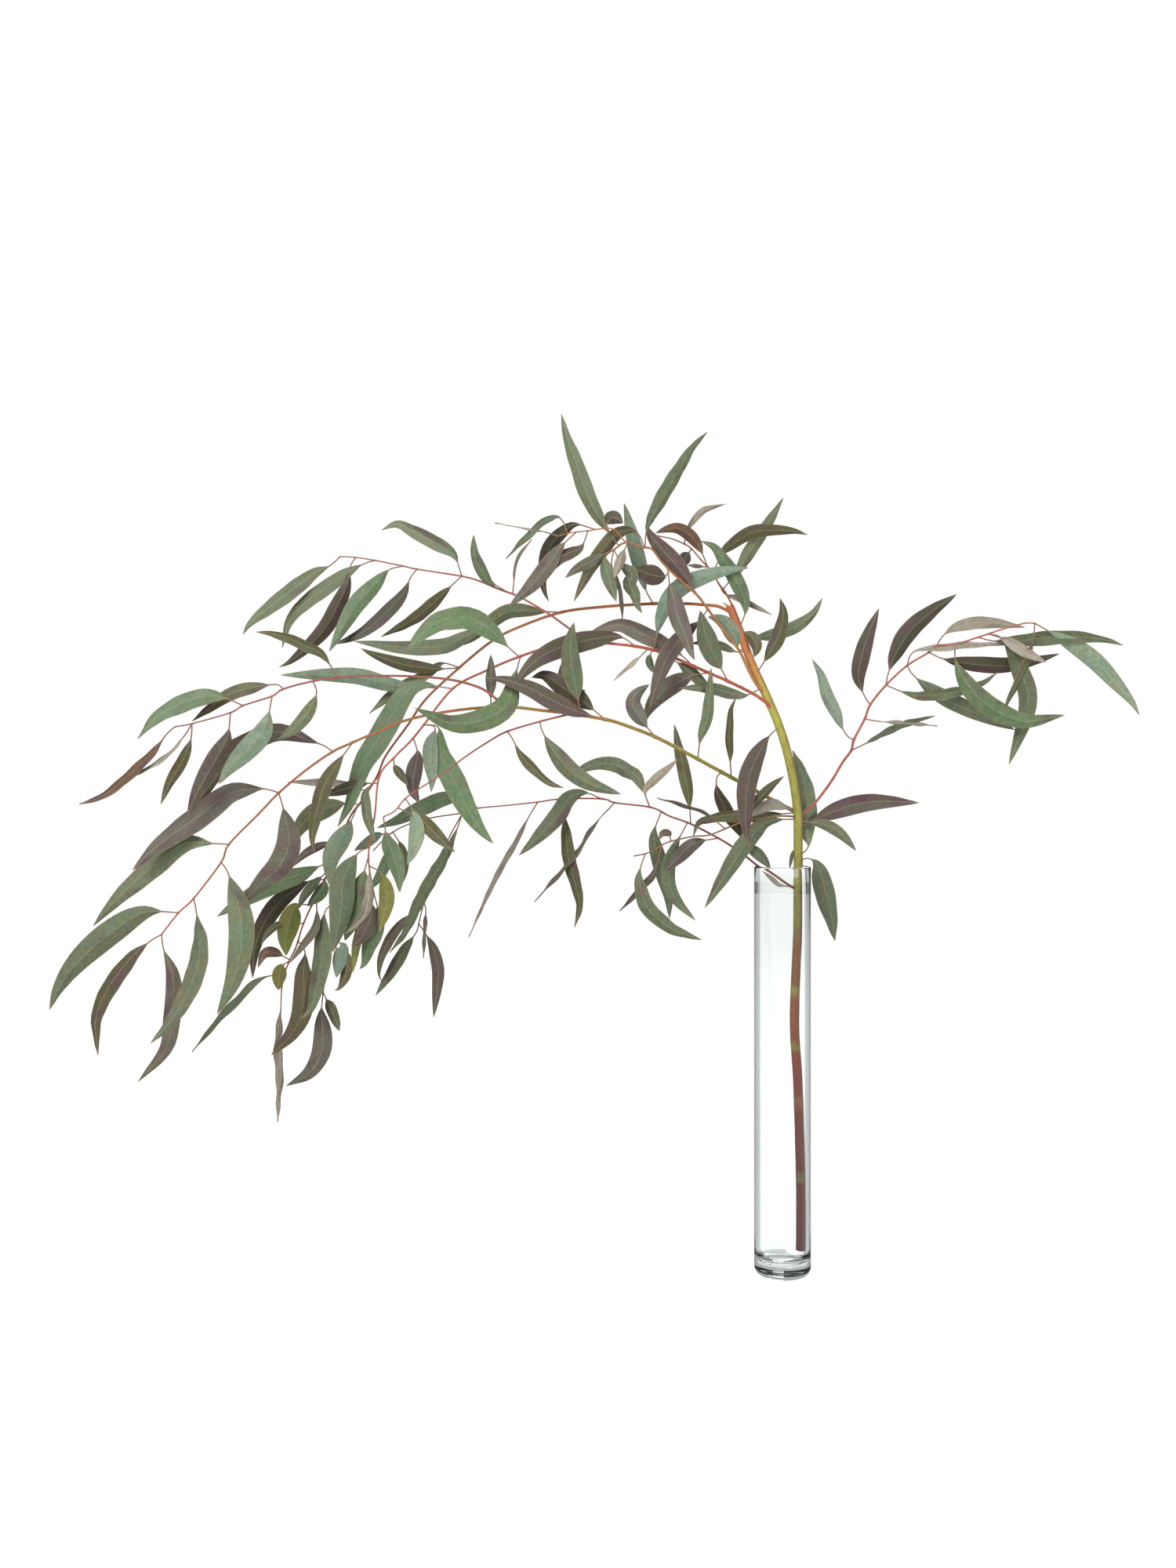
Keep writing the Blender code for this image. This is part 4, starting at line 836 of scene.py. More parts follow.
LONG_BRANCH_TWIG_COLOURS = ("#80792f", "#a0503c")

long_branch = grow("long branch", LONG_BRANCH_TWIGS, LONG_BRANCH_LEAVES,
                   LONG_BRANCH_TWIG_COLOURS, MAIN_STEM_TWIGS)
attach(long_branch, "root")
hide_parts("long_branch")

# A side spray that grew from the top of the long branch and reaches furthest to the upper left: a thin
# pinkish brown twig with grey-green leaves that all hang to one side.
UPPER_LEFT_SPRAY_TWIGS = (
    (1.7, 0.8, (-353, 723, -29), (-377, 743, -36), (-401, 753, -43), (-430, 759, -52), (-464, 762, -62),
     (-502, 763, -72), (-553, 762, -84), (-599, 756, -94), (-637, 746, -100), (-651, 737, -102),
     (-688, 725, -107), (-704, 716, -109), (-753, 702, -114), (-775, 698, -116)),
)
UPPER_LEFT_SPRAY_LEAVES = (
    (11, "o", -15, (-567, 761), (-586, 789), (-609, 802), (-642, 815), (-671, 819)),
    (14, "g", 10, (-599, 756), (-594, 743), (-599, 727), (-610, 709), (-626, 693), (-646, 681)),
    (15, "o", 10, (-637, 746), (-648, 752), (-697, 743), (-724, 727), (-753, 705)),
    (22, "b", -15, (-651, 737), (-656, 711), (-664, 689), (-684, 667), (-706, 644), (-719, 625)),
    (20, "f", -15, (-688, 725), (-715, 736), (-742, 736), (-773, 725), (-800, 709), (-822, 683)),
    (20, "p", 15, (-704, 716), (-708, 685), (-722, 658), (-746, 615), (-759, 585)),
    (6, "w", -5, (-753, 702), (-764, 685), (-786, 662), (-813, 644), (-833, 632)),
    (11, "o", 15, (-753, 702), (-755, 680), (-766, 653), (-782, 626), (-793, 599)),
    (12, "r", -10, (-775, 698), (-786, 688), (-802, 667), (-842, 629), (-869, 609), (-897, 599)),
)
UPPER_LEFT_SPRAY_TWIG_COLOURS = ("#95584a", "#8f544c")

upper_left_spray = grow("upper left spray", UPPER_LEFT_SPRAY_TWIGS, UPPER_LEFT_SPRAY_LEAVES,
                        UPPER_LEFT_SPRAY_TWIG_COLOURS, LONG_BRANCH_TWIGS)
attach(upper_left_spray, "root")
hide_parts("upper_left_spray")

# A short side spray that grew from the underside of the long branch: a pinkish twig with five fresh
# green leaves.
MIDDLE_SPRAY_TWIGS = (
    (1.3, 0.8, (-270, 714, -20), (-308, 705, -20), (-351, 692, -20), (-375, 679, -20), (-404, 660, -20),
     (-438, 635, -20), (-478, 609, -22), (-494, 591, -23), (-509, 583, -24)),
)
MIDDLE_SPRAY_LEAVES = (
    (20, "g", -20, (-309, 705), (-307, 694), (-294, 670), (-276, 647), (-258, 632), (-238, 622), (-206, 612)),
    (10, "o", -5, (-351, 692), (-345, 684), (-334, 663), (-318, 645), (-298, 627), (-279, 620)),
    (18, "b", -15, (-482, 607), (-476, 599), (-469, 583), (-467, 562), (-472, 538), (-479, 522)),
    (16, "o", -10, (-490, 594), (-476, 588), (-461, 580), (-443, 562), (-418, 538)),
    (20, "f", -10, (-509, 583), (-507, 569), (-504, 552), (-496, 532), (-490, 511), (-488, 487)),
)
MIDDLE_SPRAY_TWIG_COLOURS = ("#9a5648", "#985a50")

middle_spray = grow("middle spray", MIDDLE_SPRAY_TWIGS, MIDDLE_SPRAY_LEAVES,
                    MIDDLE_SPRAY_TWIG_COLOURS, LONG_BRANCH_TWIGS)
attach(middle_spray, "root")
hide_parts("middle_spray")

# The pink branch leaves the stem high up and arches over the long branch. Its twig is pink-red and its
# leaves are the freshest and broadest of all, hanging in a curtain at its end.
PINK_BRANCH_TWIGS = (
    (2.2, 0.9, (-5, 699, 16), (-11, 718, 14), (-32, 737, 11), (-69, 756, 8), (-92, 766, 7),
     (-140, 787, 5), (-165, 796, 4), (-198, 802, 2), (-245, 805, 0), (-294, 800, -2), (-334, 788, -3),
     (-377, 770, -4), (-420, 747, -4), (-457, 701, -4), (-474, 680, -5), (-494, 660, -6),
     (-514, 635, -8), (-520, 585, -6), (-528, 533, -2), (-521, 485, 2)),
)
PINK_BRANCH_LEAVES = (
    (24, "g", -35, (-69, 757), (-77, 770), (-90, 795), (-99, 820), (-105, 846)),
    (22, "m", 20, (-94, 767), (-116, 763), (-142, 750), (-158, 737), (-171, 718), (-174, 705)),
    (20, "m", 10, (-114, 776), (-131, 791), (-152, 804), (-171, 813), (-190, 822), (-212, 828), (-251, 815)),
    (14, "g", 15, (-146, 789), (-137, 782), (-118, 769), (-105, 757), (-95, 744), (-90, 732)),
    (20, "b", -2, (-164, 796), (-160, 818), (-152, 845), (-140, 866), (-123, 880), (-98, 890), (-72, 897),
     (-43, 901)),
    (9, "g", 0, (-166, 796), (-170, 783), (-164, 766)),
    (24, "k", -30, (-186, 801), (-208, 813), (-241, 810), (-278, 801), (-308, 787), (-330, 767), (-342, 747)),
    (20, "b", 20, (-245, 804), (-257, 795), (-267, 787), (-273, 771), (-276, 747), (-251, 744)),
    (26, "f", -45, (-336, 788), (-349, 799), (-371, 820), (-396, 836), (-420, 837), (-447, 828), (-483, 792)),
    (25, "f", -100, (-334, 788), (-343, 755), (-349, 730), (-365, 714), (-396, 703), (-426, 703),
     (-469, 722)),
    (27, "f", -10, (-421, 747), (-462, 751), (-484, 737), (-514, 685), (-537, 648), (-550, 606), (-567, 570)),
    (26, "f", 15, (-457, 701), (-438, 696), (-436, 663), (-420, 631), (-404, 598), (-387, 570), (-369, 549)),
    (18, "b", 5, (-457, 700), (-443, 697), (-449, 674), (-449, 653), (-447, 633), (-448, 615)),
    (18, "p", 12, (-471, 684), (-465, 663), (-469, 643), (-471, 619), (-463, 600)),
    (10, "o", 0, (-496, 658), (-494, 647), (-477, 623)),
    (14, "k", -10, (-515, 626), (-537, 625), (-557, 619), (-586, 610)),
    (12, "g", -8, (-514, 635), (-531, 615), (-531, 591), (-525, 566), (-519, 550)),
    (28, "g", -25, (-527, 545), (-543, 535), (-560, 503), (-562, 475), (-566, 447), (-574, 410)),
    (26, "f", -5, (-528, 533), (-538, 495), (-546, 460), (-558, 425)),
    (9, "w", -35, (-528, 531), (-526, 489), (-528, 475), (-533, 458), (-546, 444), (-558, 434)),
    (18, "y", -5, (-526, 520), (-511, 510), (-505, 482), (-508, 461), (-514, 436)),
    (20, "p", -10, (-521, 486), (-528, 447), (-542, 423), (-550, 420)),
    (20, "f", 8, (-521, 486), (-516, 461), (-522, 433), (-528, 419), (-533, 398), (-539, 389)),
    (11, "y", 4, (-522, 487), (-540, 430), (-544, 412), (-548, 384)),
    (5, "w", 5, (-172, 797), (-183, 786), (-197, 774), (-215, 757)),
)
PINK_BRANCH_TWIG_COLOURS = ("#a5553a", "#a85c52")

pink_branch = grow("pink branch", PINK_BRANCH_TWIGS, PINK_BRANCH_LEAVES,
                   PINK_BRANCH_TWIG_COLOURS, MAIN_STEM_TWIGS)
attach(pink_branch, "root")
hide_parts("pink_branch")

# A side spray that grew from the top of the pink branch and runs back and up to the left: a thin pink
# twig with hanging leaves, darker than the pink branch's own.
HIGH_LEFT_SPRAY_TWIGS = (
    (1.5, 0.8, (-253, 807, 1), (-269, 821, 8), (-298, 842, 16), (-318, 854, 24), (-338, 865, 33),
     (-363, 874, 43), (-387, 884, 52), (-409, 890, 60), (-466, 899, 80), (-484, 903, 86),
     (-519, 910, 96), (-544, 914, 103), (-564, 915, 108)),
)
HIGH_LEFT_SPRAY_LEAVES = (
    (3, "w", -10, (-344, 868), (-338, 910), (-320, 937)),
    (13, "g", -15, (-350, 869), (-365, 878), (-375, 883), (-385, 899), (-393, 920), (-394, 943)),
    (17, "g", 15, (-409, 890), (-413, 903), (-418, 916), (-430, 926), (-473, 949), (-492, 957), (-511, 949)),
    (13, "o", -15, (-409, 890), (-419, 881), (-457, 845), (-484, 827), (-512, 813)),
    (17, "k", 10, (-466, 899), (-474, 889), (-484, 867), (-502, 847), (-524, 827), (-546, 813), (-573, 803)),
    (20, "f", -20, (-484, 903), (-502, 898), (-519, 880), (-542, 856), (-555, 836), (-578, 794)),
    (19, "g", 20, (-519, 910), (-531, 907), (-553, 896), (-582, 876), (-609, 856), (-629, 833), (-638, 799)),
    (18, "k", -20, (-544, 914), (-551, 903), (-556, 878), (-568, 851), (-586, 820), (-624, 784), (-642, 774)),
    (20, "g", -15, (-564, 915), (-578, 903), (-598, 894), (-631, 869), (-676, 833), (-688, 816)),
)
HIGH_LEFT_SPRAY_TWIG_COLOURS = ("#a05a4c", "#9c5f56")

high_left_spray = grow("high left spray", HIGH_LEFT_SPRAY_TWIGS, HIGH_LEFT_SPRAY_LEAVES,
                       HIGH_LEFT_SPRAY_TWIG_COLOURS, PINK_BRANCH_TWIGS)
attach(high_left_spray, "root")
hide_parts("high_left_spray")

# The arch branch grew from just under the broken top of the stem and makes the widest arch, an orange
# brown twig with a side twig, ending in a crowd of overlapping green, olive and mauve leaves.
ARCH_BRANCH_TWIGS = (
    (2.1, 1.0, (-63, 843, 22), (-80, 851, 23), (-93, 853, 25), (-123, 855, 28), (-164, 855, 31),
     (-229, 851, 34), (-282, 844, 37), (-334, 826, 40), (-371, 807, 42), (-416, 770, 44), (-455, 733, 46),
     (-478, 700, 47), (-506, 661, 49), (-517, 635, 50), (-537, 603, 51), (-553, 580, 52), (-573, 527, 53),
     (-600, 471, 54), (-612, 444, 55), (-620, 418, 56), (-629, 399, 56), (-635, 383, 57), (-639, 363, 57)),
    (0.9, 0.8, (-573, 527, 53), (-571, 475, 60), (-574, 425, 66), (-586, 359, 72)),
)
ARCH_BRANCH_LEAVES = (
    (18, "b", -5, (-165, 857), (-175, 874), (-179, 895), (-187, 924), (-194, 952), (-202, 983)),
    (16, "g", 12, (-281, 844), (-314, 845), (-348, 845), (-373, 830), (-398, 810), (-420, 799)),
    (18, "g", -20, (-358, 813), (-390, 819), (-430, 802), (-478, 799), (-508, 802), (-546, 807)),
    (15, "o", -20, (-412, 773), (-433, 772), (-457, 773), (-486, 778), (-519, 789), (-538, 798)),
    (14, "g", 15, (-412, 774), (-433, 779), (-448, 770), (-468, 757), (-493, 745), (-527, 715)),
    (18, "b", -35, (-440, 748), (-484, 749), (-508, 753), (-542, 762), (-586, 764), (-640, 764)),
    (9, "w", -15, (-530, 615), (-555, 625), (-598, 628), (-631, 627)),
    (23, "g", 15, (-540, 598), (-553, 601), (-576, 596), (-600, 585), (-616, 568), (-624, 546)),
    (24, "b", -25, (-543, 595), (-557, 564), (-573, 540), (-578, 515), (-577, 495)),
    (10, "m", -10, (-563, 555), (-584, 548), (-606, 538), (-626, 519)),
    (23, "f", -35, (-573, 527), (-598, 517), (-616, 509), (-647, 499), (-690, 476), (-721, 456)),
    (11, "g", -20, (-578, 515), (-596, 499), (-610, 482), (-618, 465)),
    (15, "f", -6, (-580, 511), (-588, 489), (-606, 469)),
    (20, "k", 10, (-585, 503), (-598, 503), (-618, 493), (-643, 473), (-662, 445), (-673, 415), (-676, 377)),
    (10, "m", -12, (-594, 482), (-595, 444), (-612, 419), (-628, 397)),
    (24, "y", -15, (-600, 471), (-620, 470), (-627, 454), (-633, 430), (-633, 406)),
    (9, "o", -25, (-610, 447), (-641, 446), (-657, 434), (-665, 420)),
    (24, "o", -10, (-618, 425), (-609, 411), (-611, 387), (-610, 359), (-614, 330), (-627, 305), (-652, 279)),
    (12, "r", -15, (-629, 401), (-647, 410), (-661, 409), (-669, 391)),
    (16, "y", -12, (-629, 399), (-638, 393), (-642, 379), (-643, 362)),
    (10, "g", -10, (-636, 381), (-655, 380), (-675, 372), (-695, 352), (-718, 329), (-753, 283)),
    (6, "w", 0, (-639, 363), (-640, 332), (-642, 281), (-640, 250), (-644, 194)),
    (22, "g", -20, (-571, 473), (-583, 463), (-587, 434), (-588, 403), (-594, 371), (-602, 338), (-615, 325)),
    (17, "b", -10, (-574, 425), (-561, 419), (-565, 398), (-569, 378)),
    (14, "o", -5, (-575, 420), (-557, 405), (-557, 383), (-565, 365), (-571, 362)),
    (22, "m", -5, (-586, 359), (-588, 332), (-586, 301), (-590, 277), (-606, 254), (-633, 240)),
    (14, "o", -12, (-586, 360), (-584, 355), (-576, 338), (-565, 310)),
)
ARCH_BRANCH_TWIG_COLOURS = ("#a4643c", "#8c4f3c")

arch_branch = grow("arch branch", ARCH_BRANCH_TWIGS, ARCH_BRANCH_LEAVES,
                   ARCH_BRANCH_TWIG_COLOURS, MAIN_STEM_TWIGS)
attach(arch_branch, "root")
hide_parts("arch_branch")

# The low branch leaves the stem inside the vase, comes up past its rim and runs out level to the left:
# a thin reddish twig that forks twice, with small sparse leaves.
LOW_BRANCH_TWIGS = (
    (1.5, 0.8, (14, 493, 9), (-3, 503, 5), (-26, 517, 1), (-34, 522.5, 0), (-51, 536, 1), (-70, 549, 5),
     (-93, 562, 10), (-119, 575, 16), (-144, 584, 21), (-167, 595, 26), (-213, 601, 34), (-230, 606, 37),
     (-281, 606, 46), (-312, 602, 52), (-348, 598, 58), (-389, 594, 66), (-408, 588, 70)),
    (0.8, 0.8, (-408, 588, 70), (-428, 551, 78), (-451, 496, 88), (-464, 447, 94)),
    (0.8, 0.8, (-408, 588, 70), (-461, 579, 62), (-498, 563, 62), (-522, 540, 62)),
)
LOW_BRANCH_LEAVES = (
    (5, "w", -4, (12, 494), (-3, 496), (-12, 502), (-26, 512)),
    (13, "g", -10, (-53, 538), (-46, 545), (-38, 541), (-28, 533), (-15, 517)),
    (16, "p", -10, (-82, 556), (-104, 552), (-119, 545), (-135, 529), (-152, 512)),
    (16, "g", -10, (-121, 576), (-135, 549), (-144, 524), (-144, 495), (-131, 472), (-111, 451)),
    (15, "o", 10, (-117, 574), (-119, 603), (-123, 631), (-131, 666), (-138, 701)),
    (18, "g", 20, (-155, 589), (-164, 562), (-160, 539), (-152, 510), (-145, 480), (-144, 453)),
    (10, "w", -15, (-169, 596), (-175, 616), (-162, 631), (-146, 645), (-133, 657)),
    (17, "g", 20, (-169, 596), (-185, 633), (-198, 641), (-212, 649), (-232, 651), (-253, 645), (-272, 633)),
    (5, "m", 15, (-214, 601), (-243, 570), (-257, 547), (-277, 521), (-316, 475)),
    (20, "g", -30, (-230, 606), (-253, 614), (-273, 606), (-287, 584), (-314, 555), (-336, 534)),
    (15, "o", -10, (-278, 605), (-278, 582), (-273, 531), (-265, 500), (-259, 470), (-265, 442)),
    (6, "w", 10, (-312, 602), (-324, 582), (-338, 551), (-355, 521), (-371, 490), (-400, 430)),
    (19, "f", 10, (-389, 594), (-398, 605), (-413, 609), (-436, 605), (-464, 593), (-494, 578), (-517, 569)),
    (13, "g", -20, (-408, 587), (-416, 565), (-430, 533), (-449, 500), (-465, 470), (-482, 434), (-501, 410)),
    (12, "m", -10, (-459, 467), (-474, 459), (-494, 438), (-510, 410), (-515, 387), (-512, 374)),
    (4, "m", -15, (-457, 473), (-455, 465), (-456, 434), (-458, 403)),
    (14, "g", 8, (-464, 447), (-467, 436), (-482, 414), (-498, 387), (-519, 355)),
    (14, "p", -8, (-464, 447), (-454, 432), (-445, 414), (-439, 387), (-441, 359), (-445, 327)),
    (11, "o", -6, (-497, 564), (-486, 545), (-482, 520), (-485, 497)),
    (13, "f", -14, (-504, 558), (-503, 535), (-512, 510), (-528, 489)),
    (12, "b", -8, (-500, 562), (-515, 560), (-532, 549), (-546, 540)),
)
LOW_BRANCH_TWIG_COLOURS = ("#7f4436", "#934c42")

low_branch = grow("low branch", LOW_BRANCH_TWIGS, LOW_BRANCH_LEAVES,
                  LOW_BRANCH_TWIG_COLOURS, MAIN_STEM_TWIGS)
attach(low_branch, "root")
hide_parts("low_branch")

# The crown spray grew from the top of the stem and rises over it: an orange twig that forks once, with
# the two tall upright leaves of the whole branch and many dark ones.
CROWN_SPRAY_TWIGS = (
    (2.0, 1.1, (-21, 739, 17), (-33, 752, 10), (-44, 772, 8), (-55, 795, 6), (-72, 817, 4), (-95, 848, 0),
     (-108, 865, -3), (-128, 883, -7), (-146, 900, -10), (-156, 911, -12), (-167, 925, -15),
     (-179, 927, -17), (-200, 933, -21), (-215, 924, -24)),
    (0.9, 0.7, (-200, 933, -21), (-214, 949, -28), (-227, 951, -31), (-248, 948, -34), (-273, 945, -38),
     (-285, 941, -40)),
)
CROWN_SPRAY_LEAVES = (
    (14, "g", -45, (-30, 745), (-47, 738), (-66, 741), (-89, 747), (-114, 748), (-131, 747)),
    (20, "p", -25, (-95, 848), (-106, 833), (-119, 821), (-135, 804), (-148, 785), (-158, 760), (-169, 723)),
    (3, "w", -10, (-285, 941), (-305, 947), (-326, 951), (-349, 955), (-367, 958)),
    (20, "p", -10, (-105, 863), (-123, 888), (-133, 901), (-148, 918), (-166, 939), (-175, 956)),
    (20, "m", -25, (-146, 900), (-144, 881), (-139, 862), (-133, 837), (-125, 818), (-118, 797), (-112, 783)),
    (22, "k", -10, (-146, 899), (-148, 891), (-160, 890), (-174, 894), (-190, 901)),
    (14, "g", -15, (-175, 927), (-174, 945), (-169, 960), (-152, 991), (-133, 1023), (-114, 1054),
     (-96, 1074)),
    (15, "o", -12, (-176, 927), (-183, 943), (-196, 949), (-212, 943), (-227, 926), (-244, 901), (-266, 858)),
    (11, "w", -12, (-198, 932), (-206, 912), (-215, 887)),
    (17, "g", 20, (-208, 928), (-219, 943), (-236, 968), (-250, 996), (-263, 1033), (-275, 1067),
     (-282, 1097)),
    (15, "g", 8, (-215, 924), (-205, 905), (-192, 892), (-196, 880), (-189, 868), (-185, 853), (-179, 843)),
    (6, "p", 5, (-215, 924), (-218, 905), (-212, 885), (-206, 868), (-204, 834)),
    (15, "g", -8, (-215, 924), (-224, 917), (-227, 908), (-221, 885), (-212, 858)),
    (12, "m", -15, (-215, 924), (-232, 916), (-246, 908), (-263, 899), (-277, 888)),
    (15, "k", -5, (-228, 951), (-217, 965), (-203, 958)),
    (14, "k", 10, (-238, 949), (-263, 956), (-279, 947), (-298, 925), (-305, 890), (-303, 870), (-298, 858)),
    (14, "k", -5, (-248, 948), (-256, 928), (-271, 920), (-286, 912), (-307, 887)),
    (18, "m", -20, (-263, 946), (-282, 928), (-298, 905), (-318, 880), (-338, 861), (-349, 852)),
    (9, "g", -15, (-275, 945), (-279, 958), (-288, 967), (-302, 962), (-317, 951), (-334, 933), (-353, 912)),
)
CROWN_SPRAY_TWIG_COLOURS = ("#a8703f", "#985f42")

crown_spray = grow("crown spray", CROWN_SPRAY_TWIGS, CROWN_SPRAY_LEAVES,
                   CROWN_SPRAY_TWIG_COLOURS, MAIN_STEM_TWIGS)
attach(crown_spray, "root")
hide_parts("crown_spray")

# A smaller spray that grew behind the crown: an orange twig with narrow leaves that point up and out
# to the right.
CROWN_BACK_SPRAY_TWIGS = (
    (1.5, 0.8, (-60, 834, 22), (-63, 850, 32), (-72, 868, 36), (-81, 880, 38), (-91, 897, 42),
     (-104, 911, 46), (-116, 925, 50), (-125, 931, 52), (-142, 938, 56), (-162, 942, 60)),
)
CROWN_BACK_SPRAY_LEAVES = (
    (15, "g", 20, (-76, 873), (-56, 898), (-43, 919), (-28, 942), (-12, 967), (1, 990)),
    (8, "w", -12, (-80, 879), (-73, 867), (-53, 861), (-14, 841)),
    (14, "o", -20, (-89, 894), (-76, 920), (-66, 929), (-47, 942), (-28, 948), (11, 948), (32, 943)),
    (14, "r", -15, (-95, 902), (-105, 925), (-118, 942), (-133, 951), (-148, 950), (-162, 945)),
    (5, "m", -8, (-95, 902), (-108, 903), (-121, 904)),
    (14, "k", -8, (-116, 925), (-124, 913), (-132, 901)),
    (7, "w", -10, (-125, 931), (-123, 946), (-116, 957), (-104, 971), (-96, 976), (-73, 982)),
)
CROWN_BACK_SPRAY_TWIG_COLOURS = ("#a66a3e", "#946044")

crown_back_spray = grow("crown back spray", CROWN_BACK_SPRAY_TWIGS, CROWN_BACK_SPRAY_LEAVES,
                        CROWN_BACK_SPRAY_TWIG_COLOURS, MAIN_STEM_TWIGS)
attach(crown_back_spray, "root")
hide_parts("crown_back_spray")

# The right branch grew from the stem above the rim, the only one on its side: a pink twig that rises
# and then levels off, with dark and grey-green leaves on both sides.
RIGHT_BRANCH_TWIGS = (
    (1.8, 0.9, (20, 582, 13), (36, 595, 12), (49, 610, 10), (64, 631, 7), (77, 653, 4), (88, 668, 1),
     (91, 681, -1), (105, 708, -5), (112, 726, -8), (132, 751, -13), (159, 776, -19), (187, 793, -24),
     (197, 801, -26), (220, 803, -29), (249, 812, -34), (286, 824, -40), (309, 830, -44), (322, 830, -46)),
)
RIGHT_BRANCH_LEAVES = (
    (8, "g", 10, (88, 668), (101, 674), (125, 686), (153, 699), (194, 712)),
    (14, "b", 15, (91, 681), (83, 686), (75, 699), (68, 716), (57, 738), (49, 764), (38, 784)),
    (3, "w", -5, (105, 708), (122, 705), (146, 703), (198, 699)),
    (18, "k", -15, (112, 726), (107, 733), (101, 746), (97, 764), (101, 787), (109, 814), (123, 849)),
    (21, "k", 20, (132, 751), (135, 766), (144, 790), (161, 818), (187, 842), (222, 867)),
    (12, "g", -15, (132, 751), (161, 740), (187, 738), (217, 742), (251, 752), (274, 767)),
    (17, "g", 15, (159, 776), (165, 766), (178, 754), (201, 738), (228, 724), (263, 708), (297, 694)),
    (9, "w", -20, (159, 776), (163, 789), (175, 797), (201, 800), (240, 804), (292, 803)),
    (17, "k", 5, (187, 793), (201, 786), (221, 781), (251, 777), (286, 776), (318, 781), (353, 791)),
    (14, "w", 20, (197, 801), (203, 812), (217, 823), (240, 830), (267, 831), (309, 825)),
    (22, "f", -30, (220, 803), (221, 782), (231, 759), (249, 736), (274, 718), (310, 705), (360, 713)),
    (16, "g", -15, (249, 812), (274, 807), (309, 809), (343, 812), (377, 813), (412, 809), (434, 802)),
    (20, "g", 20, (262, 816), (277, 813), (292, 795), (305, 765), (313, 740), (310, 710), (289, 650)),
    (14, "w", -25, (263, 816), (287, 808), (310, 794), (336, 780)),
    (17, "b", 10, (322, 830), (343, 818), (366, 805), (396, 784), (423, 756), (446, 729), (455, 713)),
    (10, "o", -10, (322, 830), (320, 809), (315, 786), (304, 761), (292, 738), (281, 717)),
)
RIGHT_BRANCH_TWIG_COLOURS = ("#9a5442", "#a56052")

right_branch = grow("right branch", RIGHT_BRANCH_TWIGS, RIGHT_BRANCH_LEAVES,
                    RIGHT_BRANCH_TWIG_COLOURS, MAIN_STEM_TWIGS)
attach(right_branch, "root")
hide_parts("right_branch")

# A thin, nearly dry twiglet in front of the stem, just above the vase's rim. It is a brown twig with a
# few narrow leaves, and grew from the stem.
DRY_TWIGLET_TWIGS = (
    (1.2, 0.8, (19, 583, 12), (8, 584, 2), (-8, 584, -6), (-30, 581, -12), (-50, 577, -16), (-68, 570, -20),
     (-93, 560, -21), (-114, 558, -22), (-142, 552, -23), (-154, 547, -24), (-172, 537, -26),
     (-190, 533, -28)),
)
DRY_TWIGLET_LEAVES = (
    (11, "o", -15, (-53, 576), (-37, 597), (-28, 608), (-12, 624), (2, 635)),
    (4, "m", -10, (-73, 568), (-95, 585), (-123, 596), (-160, 607)),
    (8, "r", -6, (-142, 552), (-145, 562), (-153, 562), (-157, 554)),
    (8, "m", 8, (-154, 547), (-164, 510), (-181, 491), (-196, 474), (-208, 463)),
    (17, "g", -25, (-175, 536), (-183, 510), (-181, 491), (-173, 468), (-158, 453), (-139, 439), (-103, 426)),
)
DRY_TWIGLET_TWIG_COLOURS = ("#7c5c38", "#8a6044")

dry_twiglet = grow("dry twiglet", DRY_TWIGLET_TWIGS, DRY_TWIGLET_LEAVES,
                   DRY_TWIGLET_TWIG_COLOURS, MAIN_STEM_TWIGS)
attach(dry_twiglet, "root")
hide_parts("dry_twiglet")

# The stage is a wide round floor of opal acrylic sheet, lit from below as a light table is, so that it
# is white all over and hardly any shadow falls on it. Its mirror images are dimmed or left out.
FLOOR_REACH = 7.0
FLOOR_SIDES = 96
FLOOR_FACE = "#777776"
FLOOR_GLOW = "#ffffff"
SHEET_GLOW = 0.95
MIRRORED_GLOW = 0.72
SHEET_SHINE = 0.2
SHEET_GRAIN_MM = 6.0
SHEET_ROUGHNESS = (0.8, 0.95)


def matt_opal_acrylic():
    # Cast opal acrylic with a matt face: it glows evenly and has a faint grain.
    made, tree, shader = new_material("cast matt opal acrylic")
    shader.inputs["Base Color"].default_value = linear(FLOOR_FACE)
    shader.inputs["Specular IOR Level"].default_value = SHEET_SHINE
    place = add(tree, "TexCoord").outputs["Object"]
    grain = add(tree, "TexNoise", {"Vector": place, "Scale": 1 / (SHEET_GRAIN_MM * MM)})
    dull = add(tree, "MapRange", {"Value": grain.outputs["Fac"], "To Min": SHEET_ROUGHNESS[0],
                                  "To Max": SHEET_ROUGHNESS[1]})
    tree.links.new(dull.outputs[0], shader.inputs["Roughness"])
    shader.inputs["Emission Color"].default_value = linear(FLOOR_GLOW)
    turns = add(tree, "LightPath").outputs["Glossy Depth"]
    glow = add(tree, "MapRange", {"Value": turns, "To Min": SHEET_GLOW, "To Max": MIRRORED_GLOW})
    tree.links.new(glow.outputs[0], shader.inputs["Emission Strength"])
    return made


def make_floor():
    """A flat disc round the vase."""
    angles = [2 * math.pi * i / FLOOR_SIDES for i in range(FLOOR_SIDES)]
    verts = [(FLOOR_REACH * math.cos(a), FLOOR_REACH * math.sin(a), 0.0) for a in angles]
    mesh = bpy.data.meshes.new("studio floor")
    mesh.from_pydata(verts, [], [list(range(FLOOR_SIDES))])
    made = bpy.data.objects.new("studio floor", mesh)
    bpy.context.scene.collection.objects.link(made)
    mesh.materials.append(matt_opal_acrylic())
    made.visible_glossy = False
    return made


studio_floor = make_floor()

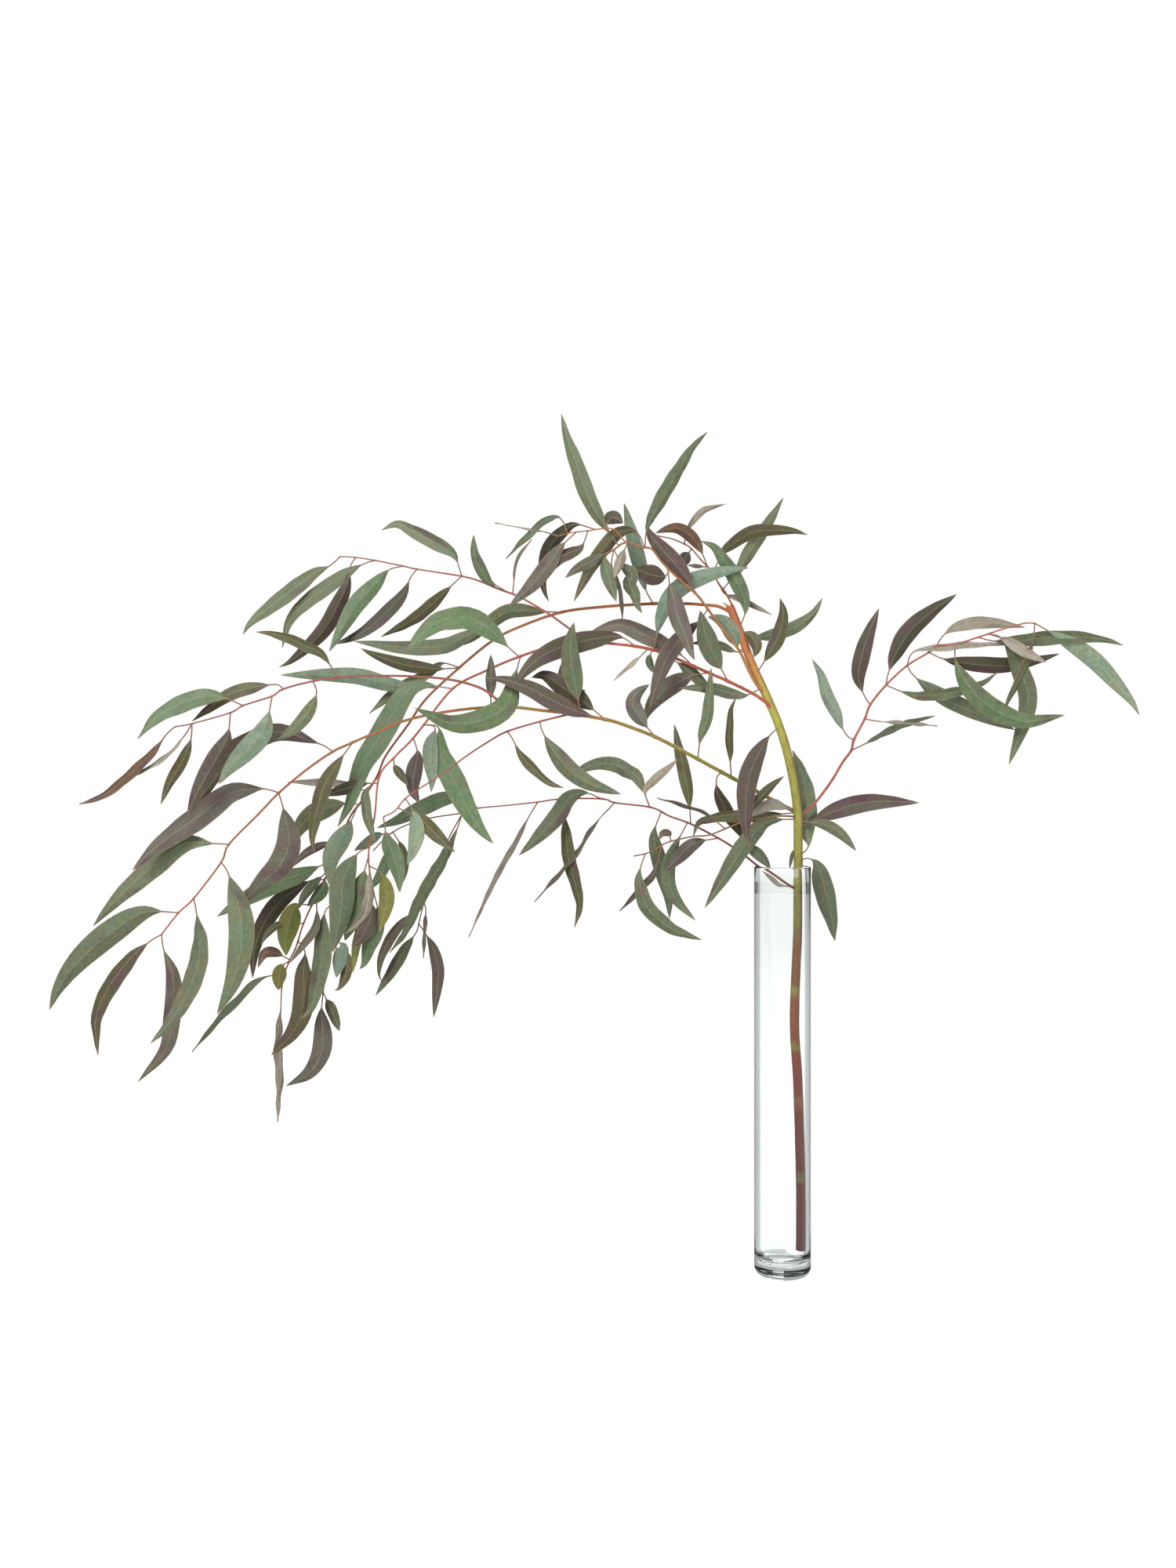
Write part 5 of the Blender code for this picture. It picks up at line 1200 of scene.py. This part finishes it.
# The light is soft: a white tent all round, which lights less than it shows, a large panel from the
# upper left in front, a weak one from the right, and one from behind, so that every side is shaped.
TENT_CLOTH = "#fdfdfd"
TENT_WHITE = 1.02
TENT_STRENGTH = 0.3
KEY_PLACE = (-1.6, -2.4, 2.3)
KEY_SIZE = 1.6
KEY_WATTS = 90.0
FILL_PLACE = (2.0, -1.8, 1.2)
FILL_SIZE = 1.4
FILL_WATTS = 30.0
BACK_PLACE = (0.9, 2.6, 2.2)
BACK_SIZE = 1.6
BACK_WATTS = 60.0
LIGHT_AIM = Vector((-0.25, 0.0, 0.6))


def hang_tent():
    """A surround that looks white straight on or through the glass, and lights and mirrors weakly."""
    world = bpy.data.worlds.new("white tent")
    world.use_nodes = True
    tree = world.node_tree
    cloth = tree.nodes["Background"]
    cloth.inputs["Color"].default_value = linear(TENT_CLOTH)
    ray = add(tree, "LightPath").outputs
    seen = add(tree, "Math", {0: ray["Is Camera Ray"], 1: ray["Is Transmission Ray"]}, operation="ADD")
    turns = add(tree, "Math", {0: ray["Diffuse Depth"], 1: ray["Glossy Depth"]}, operation="ADD")
    straight = add(tree, "Math", {0: turns.outputs[0], 1: 0.5}, operation="LESS_THAN")
    looked_at = add(tree, "Math", {0: seen.outputs[0], 1: straight.outputs[0]}, operation="MULTIPLY")
    shown = add(tree, "MapRange", {"Value": looked_at.outputs[0], "To Min": TENT_STRENGTH,
                                   "To Max": TENT_WHITE})
    tree.links.new(shown.outputs[0], cloth.inputs["Strength"])
    bpy.context.scene.world = world


def add_panel(name, place, size, watts):
    """A square soft panel turned to face the branch."""
    light = bpy.data.lights.new(name, "AREA")
    light.shape = "SQUARE"
    light.size = size
    light.energy = watts
    panel = bpy.data.objects.new(name, light)
    panel.location = place
    panel.rotation_euler = (LIGHT_AIM - Vector(place)).to_track_quat("-Z", "Y").to_euler()
    bpy.context.scene.collection.objects.link(panel)


hang_tent()
add_panel("key panel", KEY_PLACE, KEY_SIZE, KEY_WATTS)
add_panel("fill panel", FILL_PLACE, FILL_SIZE, FILL_WATTS)
add_panel("back panel", BACK_PLACE, BACK_SIZE, BACK_WATTS)

# The camera stands level, 2 m in front, and sees 2 m of height at the stem.
CAMERA_LENS = 36.0
CAMERA_SENSOR = 36.0

camera_data = bpy.data.cameras.new("camera")
camera_data.lens = CAMERA_LENS
camera_data.sensor_width = CAMERA_SENSOR
camera = bpy.data.objects.new("camera", camera_data)
camera.location = (EYE_X * MM, -EYE_DISTANCE * MM, EYE_Z * MM)
camera.rotation_euler = (math.pi / 2, 0, 0)
bpy.context.scene.collection.objects.link(camera)
bpy.context.scene.camera = camera
bpy.context.scene.view_settings.view_transform = "Standard"
